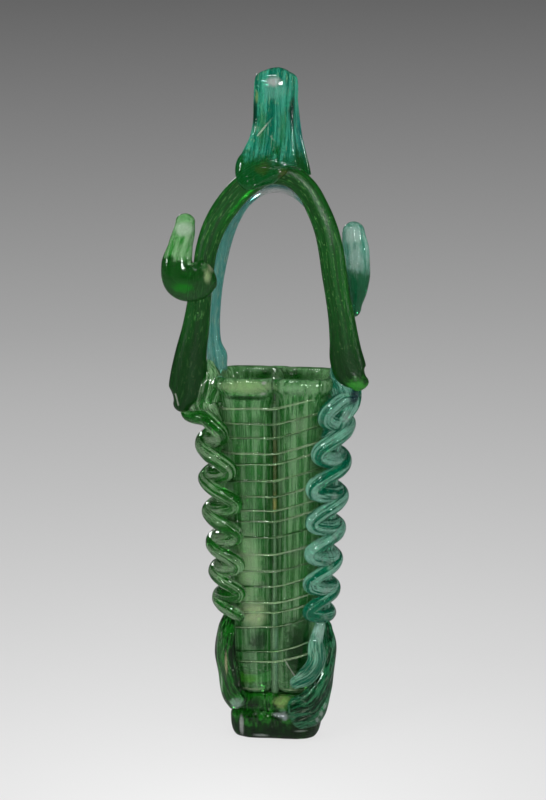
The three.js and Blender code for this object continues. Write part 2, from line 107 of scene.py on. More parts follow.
@dataclass(frozen=True)
class PairSizes:
    """Sizes of the two tubes that other pieces are set against, in millimetres."""

    clearance: float = 0.3
    low_radius: float = 6.85
    top_radius: float = 9.3
    bottom: float = 15.6
    shoulder: float = 116.2
    rim_overhang: float = 1.7
    rim_height: float = 6.6
    rim_neck: float = 1.0
    thread_bottom: float = 28.5
    thread_diameter: float = 0.9
    climb: float = 2.0
    foot_height: float = 9.3
    left_trail_bottom: float = 44.4
    right_trail_bottom: float = 40.5

    @property
    def rim_top(self) -> float:
        """Height of the rims' crest in the middle of their depth."""
        return self.shoulder + self.rim_height

    @property
    def rim_side(self) -> float:
        """Reach of the rims to each side of the seam."""
        return self.axis_offset(self.rim_top) + self.top_radius + self.rim_overhang

    def wall_radius(self, height: Array | float) -> Array | float:
        """Radius of a tube's outer wall at a height."""
        share = (np.asarray(height, float) - self.bottom) / (self.shoulder - self.bottom)
        return lerp(self.low_radius, self.top_radius, share)

    def axis_offset(self, height: Array | float) -> Array | float:
        """Distance of a tube's axis from the seam at a height."""
        return self.clearance / 2 + self.wall_radius(height)

    def lay_radius(self, height: Array, half: Array | float, room: float) -> Array:
        """Distance from a tube's axis to the middle of what lies on it.

        Args:
            height: Heights of the points.
            half: Half the thickness of what lies there.
            room: Room under it.

        Returns:
            The distance at each height.
        """
        on_thread = self.wall_radius(height) + self.clearance + self.thread_diameter
        start = self.thread_bottom - self.thread_diameter
        climbed = smoothstep(height, start - self.climb, start)
        at_rim = np.asarray(height) > self.shoulder - self.rim_neck
        on_rim = np.where(at_rim, self.top_radius + self.rim_overhang, 0)
        return np.maximum(lerp(self.wall_radius(height), on_thread, climbed), on_rim) + room + half


PAIR = PairSizes()


# Meshes


LEAST_KNOT = 1e-4


class StationCurve:
    """A smooth run through stations, each a place with sizes that change along the way."""

    def __init__(self, points: Sequence[Sequence[float]], sizes: Sequence[Sequence[float]]) -> None:
        """Keeps the stations' places and the sizes at them."""
        self.points = np.asarray(points, float)
        self.sizes = np.asarray(sizes, float)

    def sample(self, count: int) -> tuple[Array, Array]:
        """Evenly stepped points of the run.

        Args:
            count: How many points.

        Returns:
            The points, and the sizes at them.
        """
        spans = len(self.points) - 1
        along = np.linspace(0, spans, count)
        index = np.minimum(along.astype(int), spans - 1)
        share = (along - index)[:, None]
        before = np.vstack([2 * self.points[0] - self.points[1], self.points])
        padded = np.vstack([before, 2 * self.points[-1] - self.points[-2]])
        p0, p1, p2, p3 = (padded[index + step] for step in range(4))
        t0, t1, t2 = (self._knot(a, b) for a, b in ((p0, p1), (p1, p2), (p2, p3)))
        out = ((p1 - p0) / t0 - (p2 - p0) / (t0 + t1) + (p2 - p1) / t1) * t1
        into = ((p2 - p1) / t1 - (p3 - p1) / (t1 + t2) + (p3 - p2) / t2) * t1
        last = len(self.sizes) - 1
        s0, s1, s2, s3 = (self.sizes[np.clip(index + step, 0, last)] for step in (-1, 0, 1, 2))
        sizes = self._blend((s1, s2), ((s2 - s0) / 2, (s3 - s1) / 2), share)
        return self._blend((p1, p2), (out, into), share), sizes

    @staticmethod
    def _knot(start: Array, end: Array) -> Array:
        """Knot interval between two stations, the root of the way between them."""
        return np.maximum(np.linalg.norm(end - start, axis=1, keepdims=True) ** 0.5, LEAST_KNOT)

    @staticmethod
    def _blend(
        ends: tuple[Array, Array], slopes: tuple[Array, Array], share: Array
    ) -> Array:
        """Cubic between two values with the given slopes at them.

        Args:
            ends: The two values.
            slopes: The slopes at them.
            share: Share of the way.

        Returns:
            The values between.
        """
        start, end = ends
        out, into = slopes
        square = share * share
        cube = square * share
        return (
            (2 * cube - 3 * square + 1) * start + (cube - 2 * square + share) * out
            + (3 * square - 2 * cube) * end + (cube - square) * into
        )


@dataclass(frozen=True)
class Swelling:
    """A local bulge or hollow of a surface, in millimetres."""

    centre: Point
    reach: float
    height: float


@dataclass(frozen=True)
class Unevenness:
    """Waves of a surface shaped by hand while hot, in millimetres."""

    depth: float
    lump: float
    stretch: float
    seed: float


Waves = tuple[Unevenness, ...]


def ring_solid(name: str, rings: Array, drawn: Array, poles: Array) -> Piece:
    """A closed smooth mesh over rings of points, with a pole at each end.

    Args:
        name: Name of the object.
        rings: Rings of points in millimetres.
        drawn: For each point, its place in the straightened piece, length along it last.
        poles: The two end points.

    Returns:
        The new object.
    """
    count, sides, _ = rings.shape
    grid = np.arange(count * sides).reshape(count, sides)
    turned = np.roll(grid, -1, axis=1)
    quads = np.stack([grid[:-1], turned[:-1], turned[1:], grid[1:]], axis=-1).reshape(-1, 4)
    first, last = count * sides, count * sides + 1
    fans = [(first, int(turned[0, j]), int(grid[0, j])) for j in range(sides)]
    fans += [(last, int(grid[-1, j]), int(turned[-1, j])) for j in range(sides)]
    mesh = bpy.data.meshes.new(name)
    mesh.from_pydata((np.vstack([rings.reshape(-1, 3), poles]) * MM).tolist(), [], quads.tolist() + fans)
    ends = np.array([drawn[0].mean(0), drawn[-1].mean(0)])
    marked = mesh.attributes.new(DRAWN, "FLOAT_VECTOR", "POINT")
    places = np.vstack([drawn.reshape(-1, 3), ends]) * MM
    marked.data.foreach_set("vector", places.astype(np.float32).ravel())
    face_outwards(mesh)
    return shown(name, mesh)


def vectors_of(rows: Outputs, name: str) -> Array:
    """One vector property of each row of a mesh's data."""
    values = np.zeros(len(rows) * 3, np.float32)
    rows.foreach_get(name, values)
    return values.reshape(-1, 3)


def face_outwards(mesh: Mesh) -> None:
    """Turns a closed mesh's faces outwards and shades it smooth.

    Args:
        mesh: The mesh.
    """
    shell = bmesh.new()
    shell.from_mesh(mesh)
    if shell.calc_volume(signed=True) < 0:
        bmesh.ops.reverse_faces(shell, faces=shell.faces[:])
    shell.to_mesh(mesh)
    shell.free()
    mesh.shade_smooth()


def shown(name: str, data: bpy.types.ID) -> Piece:
    """A new object of the scene with that data, at the origin."""
    piece = bpy.data.objects.new(name, data)
    bpy.context.scene.collection.objects.link(piece)
    return piece


# Angles of the rings that round off a strand's end
TIP_BENDS = np.radians(np.linspace(9, 81, 9))


def front_to_back(count: int) -> Array:
    """Directions of thickness for a strand that is as wide as it is seen from the front."""
    return np.repeat([[0.0, 1.0, 0.0]], count, 0)


def strand_solid(
    name: str,
    run: tuple[Array, Array],
    ways: Array,
    sides: int,
    tip: float,
) -> Piece:
    """A strand with elliptical sections and rounded ends.

    Args:
        name: Name of the object.
        run: Points of its middle line, and width and thickness at them.
        ways: Direction of its thickness at each point.
        sides: Points round a section.
        tip: Length of the rounded ends.

    Returns:
        The new object.
    """
    points, sizes = run
    halves = sizes[:, :2] / 2
    tangents = unit(np.gradient(points, axis=0))
    lengths = np.concatenate([[0], np.cumsum(np.linalg.norm(np.diff(points, axis=0), axis=1))])
    for end, sign in ((0, -1), (-1, 1)):
        extra = points[end] + sign * tip * np.sin(TIP_BENDS)[:, None] * tangents[end]
        shrunk = halves[end] * np.cos(TIP_BENDS)[:, None]
        reach = lengths[end] + sign * tip * np.sin(TIP_BENDS)
        same = np.repeat(tangents[end][None], len(TIP_BENDS), 0)
        way = np.repeat(ways[end][None], len(TIP_BENDS), 0)
        order = slice(None, None, -1) if sign < 0 else slice(None)
        parts = [(points, extra), (halves, shrunk), (lengths, reach), (tangents, same), (ways, way)]
        stacked = [
            np.concatenate([new[order], old] if sign < 0 else [old, new[order]]) for old, new in parts
        ]
        points, halves, lengths, tangents, ways = stacked
    across = unit(np.cross(ways, tangents))
    through = np.cross(tangents, across)
    angles = np.linspace(0, 2 * math.pi, sides, endpoint=False)
    wide = halves[:, :1] * np.cos(angles)
    thick = halves[:, 1:] * np.sin(angles)
    rings = points[:, None] + wide[..., None] * across[:, None] + thick[..., None] * through[:, None]
    drawn = np.stack([wide, thick, np.repeat(lengths[:, None], sides, 1)], axis=-1)
    beyond = 1 - math.sin(TIP_BENDS[-1])
    poles = np.array([points[0] - tangents[0] * tip * beyond, points[-1] + tangents[-1] * tip * beyond])
    return ring_solid(name, rings, drawn, poles)


def work_surface(
    piece: Piece, waves: Sequence[Unevenness], swellings: Sequence[Swelling] = ()
) -> None:
    """Moves a piece's surface along its normals, as hand work leaves it.

    Args:
        piece: The piece.
        waves: Waves to add, each with its own scale.
        swellings: Local bulges and hollows.
    """
    mesh = piece.data
    count = len(mesh.vertices)
    places = vectors_of(mesh.vertices, "co") / MM
    normals = vectors_of(mesh.vertex_normals, "vector")
    drawn = vectors_of(mesh.attributes[DRAWN].data, "vector") / MM
    shift = np.zeros(count)
    for wave in waves:
        scaled = drawn / (wave.lump, wave.lump, wave.lump * wave.stretch) + wave.seed
        shift += wave.depth * np.fromiter((noise.noise(Vector(row)) for row in scaled), float, count)
    for bulge in swellings:
        distance = np.linalg.norm(places - np.asarray(bulge.centre), axis=1)
        shift += bulge.height * np.exp(-((distance / bulge.reach) ** 2))
    moved = (places + normals * shift[:, None]) * MM
    mesh.vertices.foreach_set("co", moved.astype(np.float32).ravel())
    mesh.update()


# Shader groups


class Wiring:
    """Adds and joins nodes of one tree."""

    def __init__(self, tree: bpy.types.NodeTree) -> None:
        """Keeps the tree."""
        self.tree = tree

    def add(self, kind: str, inputs: Inputs | None = None, **settings: object) -> bpy.types.Node:
        """A new node.

        Args:
            kind: Its type.
            inputs: Sockets to join to it, or plain values, by input name or number.
            **settings: Its own settings.

        Returns:
            The node.
        """
        node = self.tree.nodes.new(kind)
        for name, value in settings.items():
            setattr(node, name, value)
        for key, value in (inputs or {}).items():
            if isinstance(value, Socket):
                self.tree.links.new(value, node.inputs[key])
            else:
                node.inputs[key].default_value = value
        return node

    def group(self, tree: bpy.types.NodeTree, inputs: dict[str, object]) -> Outputs:
        """Outputs of a shader group placed with its own values."""
        return self.add("ShaderNodeGroup", inputs, node_tree=tree).outputs

    def math(self, operation: str, *values: Socket | float, clamp: bool = False) -> Socket:
        """Result of a Math node."""
        node = self.add("ShaderNodeMath", dict(enumerate(values)), operation=operation, use_clamp=clamp)
        return node.outputs[0]

    def vector(self, operation: str, *values: Socket | Sequence[float], output: int = 0) -> Socket:
        """Result of a Vector Math node."""
        node = self.add("ShaderNodeVectorMath", dict(enumerate(values)), operation=operation)
        return node.outputs[output]

    def ramp(
        self, value: Socket, low: Socket | float, high: Socket | float, start: float = 0, end: float = 1
    ) -> Socket:
        """Value smoothly mapped from low..high to start..end."""
        inputs = {"Value": value, "From Min": low, "From Max": high, "To Min": start, "To Max": end}
        return self.add("ShaderNodeMapRange", inputs, interpolation_type="SMOOTHSTEP").outputs["Result"]

    def scaled(self, vector: Socket, share: Socket | float) -> Socket:
        """A vector times a number."""
        return self.add("ShaderNodeVectorMath", {0: vector, 3: share}, operation="SCALE").outputs[0]

    def stretched(self, vector: Socket, along: Socket | float) -> Socket:
        """A place with its length along the piece made shorter, so that a pattern is drawn out there."""
        squeezed = self.add("ShaderNodeCombineXYZ", {0: 1.0, 1: 1.0, 2: along}).outputs[0]
        return self.vector("MULTIPLY", vector, squeezed)

    def mix(self, share: Socket | float, first: Socket | Colour, second: Socket | Colour) -> Socket:
        """Mix of two colours.

        Args:
            share: Share of the way.
            first: The first colour.
            second: The second colour.

        Returns:
            The mixed colour.
        """
        node = self.add("ShaderNodeMix", {"Factor": share}, data_type="RGBA")
        for index, colour in ((6, first), (7, second)):
            if isinstance(colour, Socket):
                self.tree.links.new(colour, node.inputs[index])
            else:
                node.inputs[index].default_value = (*colour, 1)
        return node.outputs[2]

    def noise(
        self, vector: Socket, scale: Socket | float, detail: float, rough: float = 0.5
    ) -> Socket:
        """Value of a Noise Texture."""
        inputs = {"Vector": vector, "Scale": scale, "Detail": detail, "Roughness": rough}
        return self.add("ShaderNodeTexNoise", inputs).outputs["Fac"]


def emptied(owner: bpy.types.Material | bpy.types.World) -> Wiring:
    """Wiring of a material or world, cleared of what it starts with."""
    owner.use_nodes = True
    owner.node_tree.nodes.clear()
    return Wiring(owner.node_tree)


@dataclass(frozen=True)
class Slot:
    """A named socket of a node group."""

    name: str
    kind: str = "Float"
    value: float | None = None

    def open(self, tree: bpy.types.NodeTree, direction: str) -> None:
        """Adds the socket to a group, as an INPUT or an OUTPUT.

        Args:
            tree: The group.
            direction: INPUT or OUTPUT.
        """
        kind = "NodeSocket" + self.kind
        socket = tree.interface.new_socket(self.name, in_out=direction, socket_type=kind)
        if self.value is not None:
            socket.default_value = self.value


def shader_group(
    name: str,
    inputs: Sequence[Slot],
    outputs: Sequence[Slot],
    wire: Callable[[Wiring, Sockets], Sockets],
) -> bpy.types.NodeTree:
    """A shader node group.

    Args:
        name: Its name.
        inputs: Its input sockets.
        outputs: Its output sockets.
        wire: Adds its nodes, given the input sockets by name, and returns the output values by name.

    Returns:
        The group.
    """
    tree = bpy.data.node_groups.new(name, "ShaderNodeTree")
    for direction, slots in (("INPUT", inputs), ("OUTPUT", outputs)):
        for slot in slots:
            slot.open(tree, direction)
    wiring = Wiring(tree)
    entry = wiring.add("NodeGroupInput")
    results = wire(wiring, {slot.name: entry.outputs[slot.name] for slot in inputs})
    wiring.add("NodeGroupOutput", dict(results))
    return tree


# Streaks: how much finer the second set is, the weight of the first one, and the flecks among them
FINER = 3.7
BROAD_SHARE = 0.65
FLECK_SCALE = 2000.0
FLECK_ALONG = 0.16
FLECK_EDGES = (0.57, 0.68)

# Weathering: where the film starts with none and how far its amount moves that, and the pale specks
FILM_START = 0.75
FILM_GAIN = 0.35
FILM_EDGE = 0.12
SPECK_EDGES = (0.14, 0.26)
SPECK_CHOSEN = 0.82

# Share of a line's half width, and of a spot's reach, that has its full colour
LINE_CORE = 0.35
SPOT_CORE = 0.3
SPOT_RAGGED_SCALE = 420.0


def drawn_streaks(wiring: Wiring, given: Sockets) -> Sockets:
    """Streaks and flecks that follow the way a piece was drawn out.

    Args:
        wiring: Wiring of the tree.
        given: The inputs by name.

    Returns:
        The outputs by name.
    """
    place = wiring.stretched(given["Vector"], given["Along"])
    broad = wiring.noise(place, given["Scale"], detail=4, rough=0.6)
    fine = wiring.noise(place, wiring.math("MULTIPLY", given["Scale"], FINER), detail=3, rough=0.55)
    weighed = wiring.math("MULTIPLY", broad, BROAD_SHARE), wiring.math("MULTIPLY", fine, 1 - BROAD_SHARE)
    low = wiring.math("SUBTRACT", 0.5, given["Softness"])
    high = wiring.math("ADD", 0.5, given["Softness"])
    short = wiring.stretched(given["Vector"], FLECK_ALONG)
    flecks = wiring.ramp(wiring.noise(short, FLECK_SCALE, detail=3, rough=0.6), *FLECK_EDGES)
    return {"Mask": wiring.ramp(wiring.math("ADD", *weighed), low, high), "Flecks": flecks}


def worked_surface(wiring: Wiring, given: Sockets) -> Sockets:
    """Height of the waves and fine pits of glass shaped by hand.

    Args:
        wiring: Wiring of the tree.
        given: The inputs by name.

    Returns:
        The outputs by name.
    """
    place = wiring.stretched(given["Vector"], given["Along"])
    waves = wiring.noise(place, given["Waves"], detail=2, rough=0.45)
    pits = wiring.noise(given["Vector"], given["Pits"], detail=2)
    return {"Height": wiring.math("ADD", waves, wiring.math("MULTIPLY", pits, given["Pitting"]))}


def weathering(wiring: Wiring, given: Sockets) -> Sockets:
    """Patches of dull film and small pale specks on old glass.

    Args:
        wiring: Wiring of the tree.
        given: The inputs by name.

    Returns:
        The outputs by name.
    """
    patches = wiring.noise(given["Vector"], given["Patches"], detail=5, rough=0.62)
    edge = wiring.math("SUBTRACT", FILM_START, wiring.math("MULTIPLY", given["Amount"], FILM_GAIN))
    film = wiring.ramp(patches, edge, wiring.math("ADD", edge, FILM_EDGE))
    inputs = {"Vector": given["Vector"], "Scale": given["Specks"]}
    cells = wiring.add("ShaderNodeTexVoronoi", inputs).outputs
    near = wiring.ramp(cells["Distance"], *SPECK_EDGES, 1, 0)
    lot = wiring.add("ShaderNodeSeparateColor", {0: cells["Color"]}).outputs[0]
    chosen = wiring.math("GREATER_THAN", lot, SPECK_CHOSEN)
    return {"Film": film, "Specks": wiring.math("MULTIPLY", near, chosen)}


def crease_line(wiring: Wiring, given: Sockets) -> Sockets:
    """A thin line in the glass between two points.

    Args:
        wiring: Wiring of the tree.
        given: The inputs by name.

    Returns:
        The outputs by name.
    """
    span = wiring.vector("SUBTRACT", given["End"], given["Start"])
    reach = wiring.vector("SUBTRACT", given["Vector"], given["Start"])
    dot = wiring.vector("DOT_PRODUCT", reach, span, output=1)
    share = wiring.math("DIVIDE", dot, wiring.vector("DOT_PRODUCT", span, span, output=1), clamp=True)
    nearest = wiring.scaled(span, share)
    distance = wiring.vector("LENGTH", wiring.vector("SUBTRACT", reach, nearest), output=1)
    inner = wiring.math("MULTIPLY", given["Width"], LINE_CORE)
    return {"Mask": wiring.ramp(distance, inner, given["Width"], 1, 0)}


def soft_spot(wiring: Wiring, given: Sockets) -> Sockets:
    """A soft-edged patch round a point, ragged where asked.

    Args:
        wiring: Wiring of the tree.
        given: The inputs by name.

    Returns:
        The outputs by name.
    """
    ragged = wiring.noise(given["Vector"], SPOT_RAGGED_SCALE, detail=4, rough=0.6)
    away = wiring.vector("SUBTRACT", given["Vector"], given["Centre"])
    distance = wiring.vector("LENGTH", wiring.vector("DIVIDE", away, given["Reach"]), output=1)
    uneven = wiring.math("MULTIPLY", wiring.math("SUBTRACT", ragged, 0.5), given["Raggedness"])
    return {"Mask": wiring.ramp(wiring.math("ADD", distance, uneven), SPOT_CORE, 1.0, 1, 0)}


class Groups:
    """The shader groups that the finishes share."""

    def __init__(self) -> None:
        """Builds each group once."""
        vector = Slot("Vector", "Vector")
        mask = Slot("Mask")
        self.streaks = shader_group(
            "Drawn streaks",
            [vector, Slot("Scale"), Slot("Along"), Slot("Softness")],
            [mask, Slot("Flecks")], drawn_streaks)
        self.surface = shader_group(
            "Worked surface",
            [vector, Slot("Along"), Slot("Waves"), Slot("Pits", value=1500.0), Slot("Pitting")],
            [Slot("Height")], worked_surface)
        self.weathering = shader_group(
            "Weathering",
            [vector, Slot("Patches", value=90.0), Slot("Specks", value=700.0), Slot("Amount")],
            [Slot("Film"), Slot("Specks")], weathering)
        self.crease = shader_group(
            "Crease line",
            [vector, Slot("Start", "Vector"), Slot("End", "Vector"), Slot("Width")],
            [mask], crease_line)
        self.spot = shader_group(
            "Soft spot",
            [vector, Slot("Centre", "Vector"), Slot("Reach", "Vector"), Slot("Raggedness")],
            [mask], soft_spot)


# Finishes


def in_metres(point: Point) -> list[float]:
    """A point or reach in millimetres, in metres."""
    return [value * MM for value in point]


@dataclass(frozen=True)
class Crease:
    """A thin line of another colour between two points, in millimetres."""

    start: Point
    end: Point
    colour: Shade
    width: float = 0.35
    strength: float = 0.8
    dulling: float = 0.9

    def mask(self, wiring: Wiring, groups: Groups, place: Socket) -> Socket:
        """Share of the line's colour at a place.

        Args:
            wiring: Wiring of the tree.
            groups: The shared shader groups.
            place: Place on the object.

        Returns:
            The share.
        """
        line = wiring.group(groups.crease, {
            "Vector": place, "Start": in_metres(self.start), "End": in_metres(self.end),
            "Width": self.width * MM,
        })
        return wiring.math("MULTIPLY", line["Mask"], self.strength)


@dataclass(frozen=True)
class Spot:
    """A soft patch of another colour round a point, in millimetres."""

    centre: Point
    reach: Point
    colour: Shade
    strength: float = 1.0
    ragged: float = 1.0
    dulling: float = 0.1

    def mask(self, wiring: Wiring, groups: Groups, place: Socket) -> Socket:
        """Share of the patch's colour at a place.

        Args:
            wiring: Wiring of the tree.
            groups: The shared shader groups.
            place: Place on the object.

        Returns:
            The share.
        """
        spot = wiring.group(groups.spot, {
            "Vector": place, "Centre": in_metres(self.centre), "Reach": in_metres(self.reach),
            "Raggedness": self.ragged,
        })
        return wiring.math("MULTIPLY", spot["Mask"], self.strength)


@dataclass(frozen=True)
class Band:
    """Another colour that starts at one height and is full at another, in millimetres."""

    start: float
    full: float
    colour: Shade
    strength: float = 1.0
    dulling: float = 0.0
    edge_scale: float = 260.0
    edge_waves: float = 16.0

    def mask(self, wiring: Wiring, groups: Groups, place: Socket) -> Socket:
        """Share of the band's colour at a place.

        Args:
            wiring: Wiring of the tree.
            groups: The shared shader groups, not used here.
            place: Place on the object.

        Returns:
            The share.
        """
        height = wiring.add("ShaderNodeSeparateXYZ", {0: place}).outputs[2]
        uneven = wiring.math("SUBTRACT", wiring.noise(place, self.edge_scale, detail=4, rough=0.6), 0.5)
        wavy = wiring.math("MULTIPLY", uneven, self.edge_waves * MM)
        edge = wiring.math("ADD", height, wavy)
        return wiring.ramp(edge, self.start * MM, self.full * MM, 0, self.strength)


@dataclass(frozen=True)
class Bore:
    """Film on the inside of a tube, which is marked in its mesh."""

    colour: Shade
    strength: float = 0.8
    dulling: float = 0.9
    patches: float = 130.0
    edges: tuple[float, float] = (0.25, 0.7)
    thinnest: float = 0.55

    def mask(self, wiring: Wiring, groups: Groups, place: Socket) -> Socket:
        """Share of the film's colour at a place.

        Args:
            wiring: Wiring of the tree.
            groups: The shared shader groups, not used here.
            place: Place on the object.

        Returns:
            The share.
        """
        inside = wiring.add("ShaderNodeAttribute", attribute_name=INSIDE).outputs["Fac"]
        patchy = wiring.noise(place, self.patches, detail=5, rough=0.6)
        uneven = wiring.ramp(patchy, *self.edges, self.thinnest, 1)
        return wiring.math("MULTIPLY", wiring.math("MULTIPLY", inside, uneven), self.strength)


Layer = Crease | Spot | Band | Bore
GLASS_IOR = 1.5


@dataclass(frozen=True)
class GlassFinish:
    """Coloured glass: what its body takes out of light, and what its surface shows."""

    name: str
    tint: Shade
    streak: Shade
    absorbed: Colour
    density: float
    transmission: float
    clear_roughness: float = 0.04
    worn_roughness: float = 0.3
    shine: float = 0.5
    streak_scale: float = 420.0
    streak_along: float = 0.07
    streak_softness: float = 0.14
    waves: float = 170.0
    waves_along: float = 0.35
    wave_depth: float = 0.5
    pitting: float = 0.05
    film: Shade = (190, 205, 185)
    film_amount: float = 0.35
    film_share: float = 0.35
    specks: Shade = (215, 235, 205)
    speck_share: float = 0.5
    fleck_share: float = 0.2
    layers: tuple[Layer, ...] = ()
    follows_piece: bool = True

    def build(self, groups: Groups) -> bpy.types.Material:
        """The material.

        Args:
            groups: The shared shader groups.

        Returns:
            The new material.
        """
        material = bpy.data.materials.new(self.name)
        wiring = emptied(material)
        place = wiring.add("ShaderNodeTexCoord").outputs["Object"]
        along = place
        if self.follows_piece:
            along = wiring.add("ShaderNodeAttribute", attribute_name=DRAWN).outputs["Vector"]
        colour, roughness = self.surface(wiring, groups, place, along)
        worked = wiring.group(groups.surface, {
            "Vector": along, "Along": self.waves_along, "Waves": self.waves, "Pitting": self.pitting,
        })
        bump = wiring.add("ShaderNodeBump", {
            "Height": worked["Height"], "Distance": self.wave_depth * MM, "Strength": 1.0,
        })
        glass = wiring.add("ShaderNodeBsdfPrincipled", {
            "Base Color": colour, "Roughness": roughness, "Normal": bump.outputs[0],
            "Transmission Weight": self.transmission, "Metallic": 0.0, "IOR": GLASS_IOR,
            "Specular IOR Level": self.shine,
        })
        body = wiring.add("ShaderNodeVolumeAbsorption", {
            "Color": (*self.absorbed, 1), "Density": self.density,
        })
        wiring.add("ShaderNodeOutputMaterial", {"Surface": glass.outputs[0], "Volume": body.outputs[0]})
        return material

    def surface(
        self, wiring: Wiring, groups: Groups, place: Socket, along: Socket,
    ) -> tuple[Socket, Socket]:
        """Colour and roughness of the surface, with its streaks, film, specks and layers.

        Args:
            wiring: The material's wiring.
            groups: The shared shader groups.
            place: Place on the object.
            along: Place in the straightened piece.

        Returns:
            The colour and the roughness.
        """
        streaks = wiring.group(groups.streaks, {
            "Vector": along, "Scale": self.streak_scale, "Along": self.streak_along,
            "Softness": self.streak_softness,
        })
        weather = wiring.group(groups.weathering, {"Vector": place, "Amount": self.film_amount})
        film = wiring.math("MULTIPLY", weather["Film"], self.film_share)
        flecks = wiring.math("MULTIPLY", streaks["Flecks"], self.fleck_share)
        specks = wiring.math("MULTIPLY", weather["Specks"], self.speck_share)
        colour = wiring.mix(streaks["Mask"], srgb(self.tint), srgb(self.streak))
        for share, laid_on in ((flecks, self.specks), (film, self.film), (specks, self.specks)):
            colour = wiring.mix(share, colour, srgb(laid_on))
        dull = film
        for layer in self.layers:
            share = layer.mask(wiring, groups, place)
            colour = wiring.mix(share, colour, srgb(layer.colour))
            dull = wiring.math("MAXIMUM", dull, wiring.math("MULTIPLY", share, layer.dulling))
        return colour, wiring.ramp(dull, 0.0, 1.0, self.clear_roughness, self.worn_roughness)


PALE = (225, 238, 215)
GREEN_WHITE = (200, 228, 190)
PURE_WHITE = (255, 255, 255)

# Across and height of the front of each loop of the right trail, which catches the light
LIT_LOOPS = (
    (24.1, 109.9), (23.1, 96.1), (21.5, 83.9), (21.0, 71.2), (19.9, 60.8), (18.5, 51.6), (18.8, 42.6),
)


